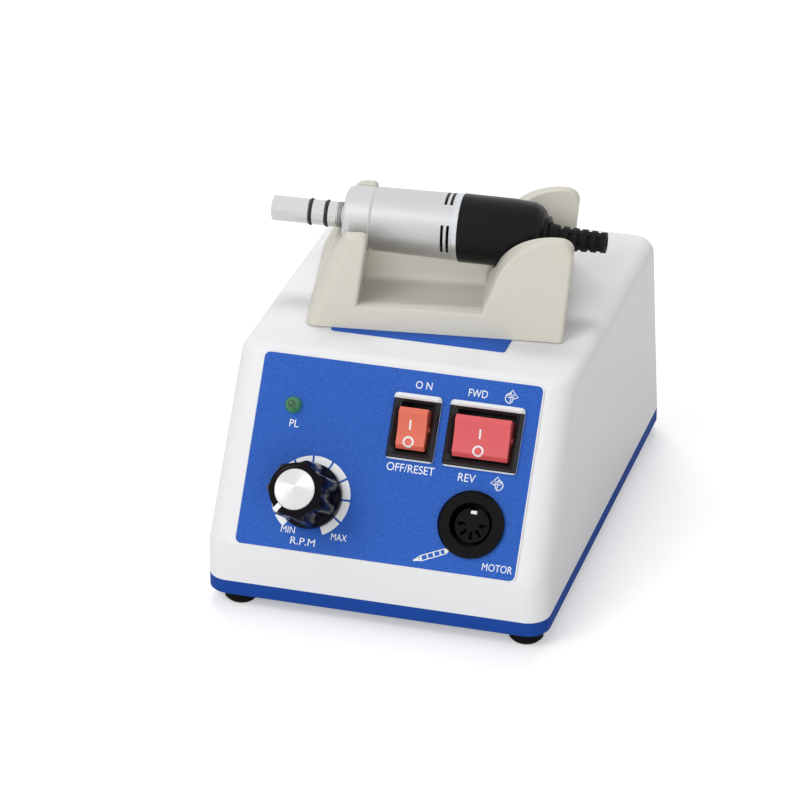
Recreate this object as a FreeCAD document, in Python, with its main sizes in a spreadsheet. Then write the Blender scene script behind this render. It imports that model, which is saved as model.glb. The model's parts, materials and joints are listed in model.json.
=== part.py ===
import FreeCAD, Part
import math
import os

import Sketcher

# Bench control box with a sloping front panel, a cradle on top and a motor handpiece in the cradle.
# Millimetres, +Z up, +X to the right of the front panel, +Y towards the back.
# The origin is on the table, under the middle of the whole object.

DIMENSIONS = {
    # Control box. Heights are from the table, setbacks are from the foot of the front or back wall.
    "case_centre": 1.3,
    "case_front": -75.65,
    "case_width": 111.2,
    "case_roof_width": 109.4,
    "case_depth": 158.6,
    "seam_height": 9.4,
    "knee_height": 22.86,
    "roof_height": 75.6,
    "brow_setback": 35.8,
    "back_setback": 8.6,
    "corner_round": 7.2,
    "knee_round": 1.2,
    "brow_round": 5.0,
    "case_wall": 2.5,
    # Clearances and depths that many openings share.
    "hole_gap": 0.1,
    "opening_depth": 14.0,
    "screw_hole": 1.8,
    "screw_pilot": 1.3,
    "post_side": 7.0,
    "post_web": 2.4,
    "post_lap": 1.5,
    # Lower pan and feet.
    "tray_bottom": 4.3,
    "tray_floor": 1.8,
    "tray_bevel": 0.5,
    "stud_round": 3.0,
    "stud_height": 4.3,
    "foot_round": 5.4,
    "foot_bevel": 1.1,
    "foot_seat": 1.6,
    "foot_sink": 3.2,
    "foot_spread": 93.4,
    "foot_shift": 1.2,
    "foot_inset_end": 7.3,
    "screw_head": 2.9,
    "screw_head_thick": 1.5,
    "foot_screw_length": 13.0,
    "cradle_screw_length": 9.5,
    # Front panel. Places are from the middle of the knee line, up the slope.
    "sheet_thick": 0.5,
    "sheet_width": 91.4,
    "sheet_across": 0.3,
    "sheet_foot": 0.3,
    "sheet_length": 61.9,
    "sheet_corner": 2.2,
    "bezel_overlap": 1.0,
    "rocker_row": 43.8,
    "power_place": 6.7,
    "power_bezel": 15.2,
    "direction_place": 29.2,
    "direction_bezel": 23.8,
    "bezel_length": 20.9,
    "bezel_rise": 2.0,
    "bezel_rim": 2.5,
    "bezel_corner": 1.1,
    "bezel_bevel": 0.9,
    "switch_depth": 13.0,
    "well_length": 15.6,
    "well_depth": 9.0,
    "well_bevel": 1.5,
    "terminal_tip": 21.0,
    "terminal_width": 4.8,
    "terminal_thick": 0.8,
    "rocker_reach": 6.6,
    "rocker_rise": 4.6,
    "rocker_end": 1.5,
    "rocker_end_drop": 1.3,
    "rocker_waist": 3.6,
    "rocker_dish": 18.0,
    "rocker_hip": 5.4,
    "rocker_hip_drop": 1.6,
    "rocker_keel": 2.2,
    "rocker_keel_drop": 4.2,
    "rocker_side_gap": 0.5,
    "rocker_pivot": -0.8,
    "rocker_tilt": 11.0,
    "trunnion_round": 1.0,
    "trunnion_gap": 0.08,
    "trunnion_lap": 0.8,
    "lamp_across": -33.1,
    "lamp_up": 46.0,
    "lamp_round": 2.75,
    "lamp_barrel": 2.1,
    "lamp_rise": 2.9,
    "knob_across": -22.9,
    "knob_up": 18.2,
    "knob_round": 8.8,
    "knob_skirt": 9.7,
    "knob_top": 19.6,
    "knob_foot": 0.4,
    "knob_skirt_top": 3.2,
    "knob_hub": 5.2,
    "knob_hub_foot": 5.6,
    "knob_roof": 14.0,
    "knob_cap_round": 6.4,
    "knob_cap_seat": 0.8,
    "flute_round": 2.9,
    "flute_circle": 10.7,
    "flute_count": 8,
    "spindle_round": 3.0,
    "spindle_top": 16.6,
    "spindle_gap": 0.06,
    "bush_round": 3.5,
    "bush_top": 5.0,
    "pot_round": 8.2,
    "pot_bottom": 14.0,
    "pot_nut_across": 11.5,
    "pot_nut_thick": 2.2,
    "socket_across": 29.5,
    "socket_up": 16.3,
    "socket_flange": 10.6,
    "socket_rise": 2.0,
    "socket_mouth": 6.7,
    "socket_barrel": 7.8,
    "socket_depth": 13.0,
    "socket_floor": 11.0,
    "socket_core": 5.5,
    "core_sink": 1.0,
    "key_width": 2.4,
    "key_depth": 9.0,
    "contact_circle": 3.4,
    "contact_slot_length": 2.6,
    "contact_slot_width": 1.1,
    "contact_slot_depth": 8.0,
    "contact_leaf_length": 2.0,
    "contact_leaf_thick": 0.5,
    "contact_leaf_height": 3.5,
    # Back plate and its fittings. Places are from the middle of the seam, up the back wall.
    "plate_width": 83.0,
    "plate_foot": 0.6,
    "plate_top": 52.0,
    "plate_gap": 0.3,
    "inlet_across": 24.0,
    "inlet_up": 32.0,
    "inlet_flange_width": 31.4,
    "inlet_flange_height": 25.0,
    "inlet_flange_thick": 2.4,
    "inlet_block_width": 27.4,
    "inlet_block_height": 20.0,
    "inlet_block_depth": 16.0,
    "inlet_mouth_width": 24.2,
    "inlet_mouth_height": 16.4,
    "inlet_mouth_corner": 4.0,
    "inlet_mouth_depth": 13.6,
    "blade_width": 2.0,
    "blade_height": 4.0,
    "blade_back": 21.0,
    "blade_across": 7.0,
    "blade_up": 2.0,
    "fuse_across": -6.0,
    "fuse_up": 32.0,
    "fuse_barrel": 6.0,
    "fuse_flange": 7.4,
    "fuse_bore": 3.9,
    "fuse_depth": 30.0,
    "fuse_plug": 3.6,
    "fuse_knob": 5.6,
    "fuse_knob_top": 7.0,
    "fuse_round": 2.6,
    "fuse_length": 20.0,
    "jack_across": -32.0,
    "jack_up": 32.0,
    "jack_bore": 3.2,
    "jack_neck": 4.6,
    "jack_body": 7.0,
    "jack_depth": 20.0,
    "jack_bore_depth": 14.0,
    "jack_nut_thick": 2.2,
    # Inside the box.
    "core_width": 50.0,
    "core_thick": 26.0,
    "core_height": 42.0,
    "core_window": 8.5,
    "core_limb": 17.0,
    "core_yoke": 8.0,
    "coil_depth": 42.0,
    "coil_gap": 0.2,
    "board_width": 78.0,
    "board_depth": 48.0,
    "board_thick": 1.6,
    "sink_length": 30.0,
    "sink_height": 18.4,
    "sink_base": 3.0,
    "sink_right": 36.0,
    "fin_pitch": 4.8,
    "fin_thick": 1.6,
    "can_round": 6.3,
    "can_height": 22.0,
    # Cradle, measured in its own frame, turned on the roof; its end walls are turned a little more.
    "cradle_across": -0.4,
    "cradle_back": 88.7,
    "cradle_turn": 7.0,
    "cradle_skew": 4.4,
    "cradle_depth": 64.0,
    "cradle_lean_end": 10.1,
    "cradle_top": 29.7,
    "cradle_left": 43.7,
    "cradle_right": 38.7,
    "cradle_corner": 4.0,
    "cradle_soft": 1.2,
    "cradle_screw_across": 32.0,
    "rail_left": 27.1,
    "rail_right": 12.4,
    "rail_height": 6.7,
    "rail_width": 4.0,
    "scoop_depth": 3.4,
    "left_wall_top": 27.3,
    "left_wall_outer": 31.5,
    "left_wall_inner": 24.4,
    "left_wall_round": 2.0,
    "right_wall_outer": 41.2,
    "right_wall_round": 4.5,
    "dome_foot_across": 16.0,
    "dome_foot_up": 14.5,
    "dome_middle_across": 22.8,
    "dome_middle_up": 25.0,
    "dome_top_across": 35.9,
    "left_notch_across": -30.0,
    "left_notch_bottom": 13.4,
    "left_notch_round": 11.2,
    "left_notch_flare": 44.0,
    "right_notch_across": 28.0,
    "right_notch_bottom": 10.6,
    "right_notch_round": 13.4,
    "right_notch_flare": 25.0,
    "notch_length": 32.0,
    "label_thick": 0.3,
    "label_across": -0.2,
    "label_front": 51.1,
    "label_width": 57.2,
    "label_length": 40.0,
    "label_corner": 1.0,
    # Handpiece. Lengths are along its axis from the open end of the nose.
    "handpiece_tip_across": -57.9,
    "handpiece_tip_back": 83.6,
    "handpiece_tip_height": 100.4,
    "handpiece_turn": 4.5,
    "handpiece_dip": 1.3,
    "nose_round": 4.1,
    "nose_bore": 3.0,
    "nose_lip": 0.7,
    "seal_groove": 0.7,
    "seal_width": 1.0,
    "seal_proud": 0.35,
    "seal_front": 12.8,
    "seal_back": 18.1,
    "clip_groove_start": 21.4,
    "clip_groove_end": 23.6,
    "clip_start": 21.9,
    "clip_end": 23.1,
    "clip_groove": 0.6,
    "collar_start": 24.6,
    "collar_lap": 5.0,
    "collar_seat": 6.2,
    "collar_round": 10.0,
    "sleeve_start": 33.7,
    "ring_start": 60.4,
    "cap_start": 62.2,
    "cap_end": 90.6,
    "boot_end": 109.1,
    "sleeve_front_round": 10.3,
    "sleeve_back_round": 10.8,
    "sleeve_bore": 9.0,
    "vent_width": 0.95,
    "vent_length": 9.4,
    "vent_front": 57.45,
    "vent_back": 59.3,
    "cap_round": 11.1,
    "cap_bore": 9.2,
    "cap_mouth": 3.2,
    "cap_mouth_depth": 3.0,
    "lead_bore": 2.3,
    "boot_plug": 3.1,
    "boot_plug_depth": 2.8,
    "boot_ring": 4.9,
    "boot_ring_length": 0.8,
    "boot_neck_front": 4.5,
    "boot_neck_back": 4.1,
    "boot_rib_front": 3.95,
    "boot_rib_back": 3.38,
    "boot_rib_width": 1.85,
    "boot_groove_width": 1.2,
    "boot_groove_depth": 0.85,
    "boot_rib_count": 5,
    # Motor inside the handpiece, on the same axis.
    "shaft_round": 1.5,
    "shaft_start": 3.2,
    "shaft_end": 84.4,
    "dog_round": 2.5,
    "dog_start": 1.4,
    "dog_end": 7.0,
    "dog_slot": 1.2,
    "bearing_round": 6.2,
    "bearing_width": 3.6,
    "bearing_front": 30.0,
    "bearing_back": 81.0,
    "bearing_gap": 0.05,
    "magnet_start": 39.5,
    "magnet_length": 14.0,
    "magnet_bore": 7.0,
    "magnet_span": 130.0,
    "armature_start": 39.8,
    "armature_end": 53.2,
    "armature_round": 6.6,
    "armature_slot_width": 1.6,
    "armature_slot_depth": 3.4,
    "armature_slot_centre": 5.6,
    "armature_slot_count": 7,
    "winding_round": 6.0,
    "winding_length": 3.4,
    "fan_start": 57.2,
    "fan_end": 61.0,
    "fan_round": 8.0,
    "fan_disc": 1.0,
    "fan_hub": 3.0,
    "fan_blade_thick": 0.8,
    "fan_blade_count": 6,
    "commutator_start": 66.0,
    "commutator_end": 73.0,
    "commutator_round": 2.9,
    "holder_start": 66.6,
    "holder_end": 72.0,
    "holder_bore": 4.6,
    "brush_along": 69.3,
    "brush_side": 3.0,
    "brush_inner": 3.15,
    "brush_outer": 8.4,
}

doc = FreeCAD.newDocument("lab_micromotor")
dims = doc.addObject("Spreadsheet::Sheet", "dims")
for row, (alias, size) in enumerate(DIMENSIONS.items(), start=1):
    dims.set("A%d" % row, alias)
    dims.set("B%d" % row, str(size))
    dims.setAlias("B%d" % row, alias)
doc.recompute()

PIECES = []


def number(formula):
    """Value of a formula written with the sheet's aliases."""
    found = dims.evalExpression(str(formula))
    return float(getattr(found, "Value", found))


def place(across, back, up, turn=None):
    """Placement at a point, with an optional rotation."""
    return FreeCAD.Placement(FreeCAD.Vector(across, back, up), turn or FreeCAD.Rotation())


CASE = place(number("case_centre"), number("case_front"), 0)
PANEL_SLOPE = math.degrees(math.atan2(number("roof_height - knee_height"), number("brow_setback")))
BROW_SHARE = math.tan(math.radians(PANEL_SLOPE / 2))
KNEE_SHARE = math.tan(math.radians((90 - PANEL_SLOPE) / 2))
PANEL_TURN = FreeCAD.Rotation(FreeCAD.Vector(1, 0, 0), PANEL_SLOPE)
PANEL_IN_CASE = place(0, 0, number("knee_height"), PANEL_TURN)
BACK_LEAN = math.degrees(math.atan2(number("back_setback"), number("roof_height - seam_height")))
BACK_TURN = FreeCAD.Rotation(FreeCAD.Vector(0, 0, 1), 180).multiply(
    FreeCAD.Rotation(FreeCAD.Vector(1, 0, 0), 90 - BACK_LEAN)
)
BACK_IN_CASE = place(0, number("case_depth"), number("seam_height"), BACK_TURN)
CRADLE_TURN = FreeCAD.Rotation(FreeCAD.Vector(0, 0, 1), number("cradle_turn"))
CRADLE_IN_CASE = place(
    number("cradle_across"), number("cradle_back"), number("roof_height + label_thick"), CRADLE_TURN
)
HANDPIECE_TURN = FreeCAD.Rotation(FreeCAD.Vector(0, 0, 1), number("handpiece_turn")).multiply(
    FreeCAD.Rotation(FreeCAD.Vector(0, 1, 0), number("handpiece_dip"))
)
HANDPIECE_IN_CASE = place(
    number("handpiece_tip_across"),
    number("handpiece_tip_back"),
    number("handpiece_tip_height"),
    HANDPIECE_TURN,
)


def on_panel(across, up, out):
    """A place on the front panel, with local Z pointing out of it and local Y up the slope."""
    local = place(number(across), number(up), number(out))
    return CASE.multiply(PANEL_IN_CASE).multiply(local)


def on_back(across, up, out):
    """A place on the back wall, with local Z pointing out of it and local Y up."""
    local = place(-number(across), number(up), number(out))
    return CASE.multiply(BACK_IN_CASE).multiply(local)


def on_handpiece(along):
    """A place on the handpiece axis, with local X running from the nose to the lead."""
    return CASE.multiply(HANDPIECE_IN_CASE).multiply(place(number(along), 0, 0))


def piece(shape_object, label, placement):
    """Give a finished sub-part its name and place and list it for export."""
    shape_object.Label = label
    shape_object.Placement = placement
    PIECES.append(shape_object)
    return shape_object


def origin_plane(body, role):
    return [item for item in body.Origin.OriginFeatures if item.Role == role][0]


def new_body(name):
    return doc.addObject("PartDesign::Body", name + "_body")


def sketch_on(body, plane, lift="0", offset=None):
    """Empty sketch on one of the body's own planes, moved along its normal or by an offset."""
    sketch = body.newObject("Sketcher::SketchObject", body.Name + "_outline")
    sketch.AttachmentSupport = [(origin_plane(body, plane), "")]
    sketch.MapMode = "FlatFace"
    if offset is not None:
        sketch.AttachmentOffset = offset
    elif lift != "0":
        sketch.setExpression("AttachmentOffset.Base.z", lift_formula(lift))
    return sketch


def lift_formula(formula):
    return "(%s) * 1 mm" % with_sheet(formula)


def with_sheet(formula):
    """Formula with the sheet's name before each alias, as other objects need it."""
    words = []
    word = ""
    for letter in str(formula) + " ":
        if letter.isalnum() or letter in "_.":
            word += letter
            continue
        words.append("dims." + word if word in DIMENSIONS else word)
        words.append(letter)
        word = ""
    return "".join(words).strip()


def hold(sketch, kind, arguments, formula):
    """Add a driving size to a sketch and bind it to the sheet."""
    index = sketch.addConstraint(Sketcher.Constraint(kind, *arguments, number(formula)))
    if any(alias in str(formula) for alias in DIMENSIONS):
        sketch.setExpression("Constraints[%d]" % index, with_sheet(formula))


def add_polygon(sketch, corners):
    """Closed loop of straight lines through corners given as pairs of formulas."""
    first = sketch.GeometryCount
    count = len(corners)
    points = [FreeCAD.Vector(number(a), number(b), 0) for a, b in corners]
    for i in range(count):
        sketch.addGeometry(Part.LineSegment(points[i], points[(i + 1) % count]), False)
    for i in range(count):
        following = first + (i + 1) % count
        sketch.addConstraint(Sketcher.Constraint("Coincident", first + i, 2, following, 1))
    for i, (a, b) in enumerate(corners):
        hold(sketch, "DistanceX", (-1, 1, first + i, 1), a)
        hold(sketch, "DistanceY", (-1, 1, first + i, 1), b)


def add_circle(sketch, a, b, radius):
    """Full circle with its centre at a pair of formulas."""
    index = sketch.GeometryCount
    centre = FreeCAD.Vector(number(a), number(b), 0)
    sketch.addGeometry(Part.Circle(centre, FreeCAD.Vector(0, 0, 1), number(radius)), False)
    hold(sketch, "DistanceX", (-1, 1, index, 3), a)
    hold(sketch, "DistanceY", (-1, 1, index, 3), b)
    hold(sketch, "Radius", (index,), radius)


def add_rectangle(sketch, a, b, width, height):
    """Rectangle about a centre, all as formulas."""
    left, right = "%s - (%s) / 2" % (a, width), "%s + (%s) / 2" % (a, width)
    low, high = "%s - (%s) / 2" % (b, height), "%s + (%s) / 2" % (b, height)
    add_polygon(sketch, [(left, low), (right, low), (right, high), (left, high)])


def pad(body, sketch, length, both_ways=False, backwards=False):
    feature = body.newObject("PartDesign::Pad", body.Name + "_pad")
    feature.Profile = sketch
    feature.SideType = "Symmetric" if both_ways else "One side"
    feature.Reversed = backwards
    feature.setExpression("Length", with_sheet(length))
    return settle(body, feature)


def pocket(body, sketch, length, both_ways=False, backwards=False):
    """Cut that must take material away."""
    doc.recompute()
    before = body.Tip.Shape.Volume
    feature = body.newObject("PartDesign::Pocket", body.Name + "_pocket")
    feature.Profile = sketch
    feature.SideType = "Symmetric" if both_ways else "One side"
    feature.Reversed = backwards
    feature.setExpression("Length", with_sheet(length))
    settle(body, feature)
    if not feature.Shape.Volume < before - 1e-3:
        raise ValueError("pocket cuts nothing in " + body.Name)
    return feature


def turn_up(body, plane, axis, corners):
    """Solid of revolution of a closed outline about an axis of its sketch."""
    sketch = sketch_on(body, plane)
    add_polygon(sketch, corners)
    feature = body.newObject("PartDesign::Revolution", body.Name + "_turned")
    feature.Profile = sketch
    feature.ReferenceAxis = (sketch, [axis])
    feature.Angle = 360.0
    return settle(body, feature)


def around(body, name, original, axis, count):
    """Repeat a feature evenly round an axis of its own sketch."""
    pattern = body.newObject("PartDesign::PolarPattern", name)
    pattern.Originals = [original]
    pattern.Axis = axis
    pattern.Angle = 360
    pattern.setExpression("Occurrences", with_sheet(count))
    return settle(body, pattern)


def settle(body, feature):
    """Make a feature the body's tip and refuse it when it fails."""
    for item in feature.OutListRecursive:
        if item.isDerivedFrom("Sketcher::SketchObject"):
            item.Visibility = False
    body.Tip = feature
    doc.recompute()
    if not feature.isValid():
        raise ValueError("%s fails in %s" % (feature.Name, body.Name))
    return feature


def edge_names(feature, wanted):
    edges = feature.Shape.Edges
    return ["Edge%d" % (i + 1) for i, edge in enumerate(edges) if wanted(edge)]


def round_edges(body, radius, wanted):
    """Round the edges of the body's last feature that a test picks out."""
    base = body.Tip
    feature = body.newObject("PartDesign::Fillet", body.Name + "_round")
    feature.Base = (base, edge_names(base, wanted))
    feature.setExpression("Radius", with_sheet(radius))
    return settle(body, feature)


def bevel_edges(body, size, wanted):
    base = body.Tip
    feature = body.newObject("PartDesign::Chamfer", body.Name + "_bevel")
    feature.Base = (base, edge_names(base, wanted))
    feature.setExpression("Size", with_sheet(size))
    return settle(body, feature)


def near(value, target, margin=0.02):
    return abs(value - target) < margin


def turned_piece(label, corners, placement, plane="XY_Plane", axis="H_Axis"):
    """Named piece turned from one outline."""
    body = new_body(label)
    turn_up(body, plane, axis, corners)
    return piece(body, label, placement)


def on_axis_piece(label, corners, along="0"):
    """Handpiece part turned about the handpiece axis; corners are (along, radius)."""
    return turned_piece(label, corners, on_handpiece(along))


def upright_piece(label, corners, placement):
    """Part turned about its own Z axis; corners are (radius, height)."""
    return turned_piece(label, corners, placement, "XZ_Plane", "V_Axis")


def joined(label, shapes, placement):
    """Several loose solids of one kind kept under one name."""
    feature = doc.addObject("Part::Feature", label + "_set")
    feature.Shape = Part.makeCompound(shapes)
    return piece(feature, label, placement)


# Openings that go through both the housing wall and the front sheet


def add_panel_openings(sketch):
    for across, bezel in (("power_place", "power_bezel"), ("direction_place", "direction_bezel")):
        width = "%s - 2 * bezel_overlap" % bezel
        add_rectangle(sketch, across, "rocker_row", width, "bezel_length - 2 * bezel_overlap")
    add_circle(sketch, "lamp_across", "lamp_up", "lamp_barrel + hole_gap")
    add_circle(sketch, "knob_across", "knob_up", "bush_round + hole_gap")
    add_circle(sketch, "socket_across", "socket_up", "socket_barrel + hole_gap")


# Housing


def case_outline(sketch, inset):
    """Side view of the housing, moved inwards by a wall."""
    add_polygon(
        sketch,
        [
            ("0 + %s" % inset, "seam_height"),
            ("0 + %s" % inset, "knee_height - %.4f * (%s)" % (KNEE_SHARE, inset)),
            ("brow_setback + %.4f * (%s)" % (BROW_SHARE, inset), "roof_height - %s" % inset),
            ("case_depth - back_setback - %s" % inset, "roof_height - %s" % inset),
            ("case_depth - %s" % inset, "seam_height"),
        ],
    )


def is_upright(edge, least):
    """Edge whose two ends differ in height by at least a given size."""
    heights = [vertex.Z for vertex in edge.Vertexes]
    return max(heights) - min(heights) > least


def is_level(edge, height):
    return all(near(vertex.Z, height) for vertex in edge.Vertexes)


def is_case_corner(edge):
    """Standing corner of the housing, front or back, left or right."""
    return abs(edge.CenterOfMass.x) > number("case_roof_width / 2 - 4") and is_upright(edge, 5)


def is_front_knee(edge):
    """Level edge between the front skirt and the sloping panel."""
    return is_level(edge, number("knee_height")) and edge.CenterOfMass.y < number("corner_round")


def case_form(name, inset):
    """Housing form with drafted sides, as a solid block."""
    body = new_body(name)
    side = sketch_on(body, "YZ_Plane")
    case_outline(side, inset)
    pad(body, side, "case_width - 2 * (%s)" % inset, both_ways=True)
    for hand in ("-1", "1"):
        draft = sketch_on(body, "XZ_Plane")
        low = "%s * (case_width / 2 - %s)" % (hand, inset)
        high = "%s * (case_roof_width / 2 - %s)" % (hand, inset)
        outside = "%s * (case_width / 2 + case_wall)" % hand
        roof = "roof_height + hole_gap"
        add_polygon(draft, [(low, "seam_height"), (outside, "seam_height"), (outside, roof), (high, roof)])
        pocket(body, draft, "3 * case_depth", both_ways=True)
    return body


def outer_form():
    """Outside of the housing, with its knee, corners and brow rounded."""
    body = case_form("housing_outer", "0")
    round_edges(body, "knee_round", is_front_knee)
    round_edges(body, "corner_round", is_case_corner)
    round_edges(body, "brow_round", lambda edge: is_level(edge, number("roof_height")))
    return body


def inner_form():
    """Hollow of the housing, with its standing corners bevelled to keep the wall even."""
    body = case_form("housing_inner", "case_wall")
    bevel_edges(body, "case_wall", is_case_corner)
    return body


def foot_spots():
    """Where the four feet and their screws stand, from the middle of the case's front edge."""
    spots = []
    for hand in (-1, 1):
        across = number("foot_shift") + hand * number("foot_spread / 2")
        for back in (number("foot_inset_end"), number("case_depth - foot_inset_end")):
            spots.append((hand, across, back))
    return spots


def screw_posts():
    """Posts inside the housing that take the foot screws, each webbed to its side wall."""
    posts = []
    side, lap, thick = number("post_side"), number("post_lap"), number("post_web")
    low = number("seam_height") - lap
    rise = number("knee_height") - low
    for hand, across, back in foot_spots():
        wall = hand * number("case_width / 2 - post_lap")
        stem = Part.makeBox(side, side, rise, FreeCAD.Vector(across - side / 2, back - side / 2, low))
        web = Part.makeBox(abs(wall - across), thick, rise - lap)
        web.translate(FreeCAD.Vector(min(wall, across), back - thick / 2, low + lap))
        pilot = Part.makeCylinder(number("screw_pilot"), rise - 2 * lap, FreeCAD.Vector(across, back, low))
        posts.append(stem.fuse(web).cut(pilot))
    return posts


def cradle_screw_spots():
    """Case positions of the two screws that hold the cradle."""
    reach = number("cradle_screw_across")
    return [CRADLE_IN_CASE.multVec(FreeCAD.Vector(hand * reach, 0, 0)) for hand in (-1, 1)]


def housing_shell():
    """Top moulding: open below, with the panel and roof openings and a gap for the back plate."""
    outer = outer_form()
    inner = inner_form()
    panel = sketch_on(outer, "XY_Plane", offset=PANEL_IN_CASE)
    add_panel_openings(panel)
    pocket(outer, panel, "opening_depth", both_ways=True)
    back = sketch_on(outer, "XY_Plane", offset=BACK_IN_CASE)
    gap_top, gap_foot = "(plate_top + plate_gap)", "2 * plate_foot"
    middle, height = "%s / 2 - plate_foot" % gap_top, "%s + %s" % (gap_top, gap_foot)
    add_rectangle(back, "0", middle, "plate_width", height)
    pocket(outer, back, "opening_depth", both_ways=True)
    roof = sketch_on(outer, "XY_Plane", "roof_height")
    for spot in cradle_screw_spots():
        add_circle(roof, spot.x, spot.y, "screw_hole")
    pocket(outer, roof, "opening_depth", both_ways=True)
    hollow = doc.addObject("Part::Cut", "housing_hollow")
    hollow.Base, hollow.Tool = outer, inner
    posts = doc.addObject("Part::Feature", "housing_posts")
    posts.Shape = Part.makeCompound(screw_posts())
    whole = doc.addObject("Part::Fuse", "housing_whole")
    whole.Base, whole.Tool = hollow, posts
    doc.recompute()
    return piece(whole, "housing_shell", CASE)


def rear_panel():
    """Flat plate that fills the gap in the back wall and carries the inlet, fuse and jack."""
    body = new_body("rear_panel")
    plan = sketch_on(body, "XY_Plane")
    height = "plate_top - plate_foot"
    add_rectangle(plan, "0", "(plate_top + plate_foot) / 2", "plate_width", height)
    pad(body, plan, "case_wall", backwards=True)
    holes = sketch_on(body, "XY_Plane")
    width, tall = "inlet_block_width + 2 * hole_gap", "inlet_block_height + 2 * hole_gap"
    add_rectangle(holes, "-inlet_across", "inlet_up", width, tall)
    add_circle(holes, "-fuse_across", "fuse_up", "fuse_barrel + hole_gap")
    add_circle(holes, "-jack_across", "jack_up", "jack_neck + hole_gap")
    pocket(body, holes, "3 * case_wall", both_ways=True)
    return piece(body, "rear_panel", on_back("0", "0", "0"))


def base_tray():
    """Blue lower pan that closes the housing, with board standoffs."""
    body = new_body("base_tray")
    plan = sketch_on(body, "XY_Plane", "tray_bottom")
    add_rectangle(plan, "0", "case_depth / 2", "case_width", "case_depth")
    pad(body, plan, "seam_height - tray_bottom")
    round_edges(body, "corner_round", lambda edge: is_upright(edge, 2))
    bevel_edges(body, "tray_bevel", lambda edge: is_level(edge, number("tray_bottom")))
    cavity = sketch_on(body, "XY_Plane", "seam_height")
    width, depth = "case_width - 2 * case_wall", "case_depth - 2 * case_wall"
    add_rectangle(cavity, "0", "case_depth / 2", width, depth)
    pocket(body, cavity, "seam_height - tray_bottom - tray_floor")
    holes = sketch_on(body, "XY_Plane", "tray_bottom")
    for hand, across, back in foot_spots():
        add_circle(holes, across, back, "screw_hole")
    pocket(body, holes, "4 * tray_floor", both_ways=True)
    studs = sketch_on(body, "XY_Plane", "tray_bottom + tray_floor")
    for across in (-40, 30):
        for back in (30, 70):
            add_circle(studs, across, back, "stud_round")
    pad(body, studs, "stud_height")
    return piece(body, "base_tray", CASE)


def feet():
    """Four round rubber feet with a sunk screw hole."""
    seat = "tray_bottom - foot_seat"
    names = ("foot_front_left", "foot_rear_left", "foot_front_right", "foot_rear_right")
    for label, (hand, across, back) in zip(names, foot_spots()):
        upright_piece(
            label,
            [
                ("screw_hole", "tray_bottom"),
                ("screw_hole", seat),
                ("foot_sink", seat),
                ("foot_sink", "0"),
                ("foot_round - foot_bevel", "0"),
                ("foot_round", "foot_bevel"),
                ("foot_round", "tray_bottom"),
            ],
            CASE.multiply(place(across, back, 0)),
        )


def pan_head_screw(spot, length):
    """Screw with its head below a point and its shank above it."""
    thick = number("screw_head_thick")
    head = Part.makeCylinder(number("screw_head"), thick, spot - FreeCAD.Vector(0, 0, thick))
    return head.fuse(Part.makeCylinder(number("screw_pilot"), number(length), spot))


def foot_screws():
    """Screws up through the feet into the housing posts."""
    seat = number("tray_bottom - foot_seat")
    spots = [FreeCAD.Vector(across, back, seat) for hand, across, back in foot_spots()]
    return joined("foot_screws", [pan_head_screw(spot, "foot_screw_length") for spot in spots], CASE)


def front_overlay():
    """Thin printed sheet that covers the sloping panel."""
    body = new_body("front_overlay")
    plan = sketch_on(body, "XY_Plane")
    add_rectangle(plan, "sheet_across", "sheet_foot + sheet_length / 2", "sheet_width", "sheet_length")
    pad(body, plan, "sheet_thick")
    round_edges(body, "sheet_corner", lambda edge: is_upright(edge, 0.1))
    holes = sketch_on(body, "XY_Plane")
    add_panel_openings(holes)
    pocket(body, holes, "4 * sheet_thick", both_ways=True)
    return piece(body, "front_overlay", on_panel("0", "0", "0"))


def roof_label():
    """Plain sheet stuck on the roof under the front edge of the cradle."""
    body = new_body("roof_label")
    plan = sketch_on(body, "XY_Plane")
    add_rectangle(plan, "label_across", "label_front + label_length / 2", "label_width", "label_length")
    pad(body, plan, "label_thick")
    round_edges(body, "label_corner", lambda edge: is_upright(edge, 0.1))
    return piece(body, "roof_label", CASE.multiply(place(0, 0, number("roof_height"))))


# Cradle


def skewed(across=0):
    """Offset that turns an upright sketch plane with the cradle's end walls."""
    turn = FreeCAD.Rotation(FreeCAD.Vector(0, 1, 0), number("cradle_skew"))
    return place(0, 0, across, turn)


def flat_point(across, up):
    return FreeCAD.Vector(number(across), number(up), 0)


def cradle_walls(body):
    """Front view of the cradle: a straight left wall, a low rail and a domed right wall."""
    sketch = sketch_on(body, "XZ_Plane", offset=skewed())
    turn = number("right_wall_round")
    short = turn * (1 - math.sqrt(0.5))
    out, top = number("right_wall_outer"), number("cradle_top")
    dome_foot = flat_point("dome_foot_across", "dome_foot_up")
    dome_middle = flat_point("dome_middle_across", "dome_middle_up")
    dome_top = flat_point("dome_top_across", "cradle_top")
    turn_start, turn_end = FreeCAD.Vector(out - turn, top, 0), FreeCAD.Vector(out, top - turn, 0)
    corners = [
        turn_end,
        flat_point("cradle_right", "0"),
        flat_point("-cradle_left", "0"),
        flat_point("-left_wall_outer", "left_wall_top"),
        flat_point("-left_wall_inner", "left_wall_top"),
        flat_point("-rail_left", "rail_height"),
        flat_point("rail_right", "rail_height"),
        dome_foot,
    ]
    for start, end in zip(corners, corners[1:]):
        sketch.addGeometry(Part.LineSegment(start, end), False)
    sketch.addGeometry(Part.Arc(dome_foot, dome_middle, dome_top), False)
    sketch.addGeometry(Part.LineSegment(dome_top, turn_start), False)
    turn_middle = FreeCAD.Vector(out - short, top - short, 0)
    sketch.addGeometry(Part.Arc(turn_start, turn_middle, turn_end), False)
    pad(body, sketch, "cradle_depth + 2 * cradle_lean_end", both_ways=True)


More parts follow.
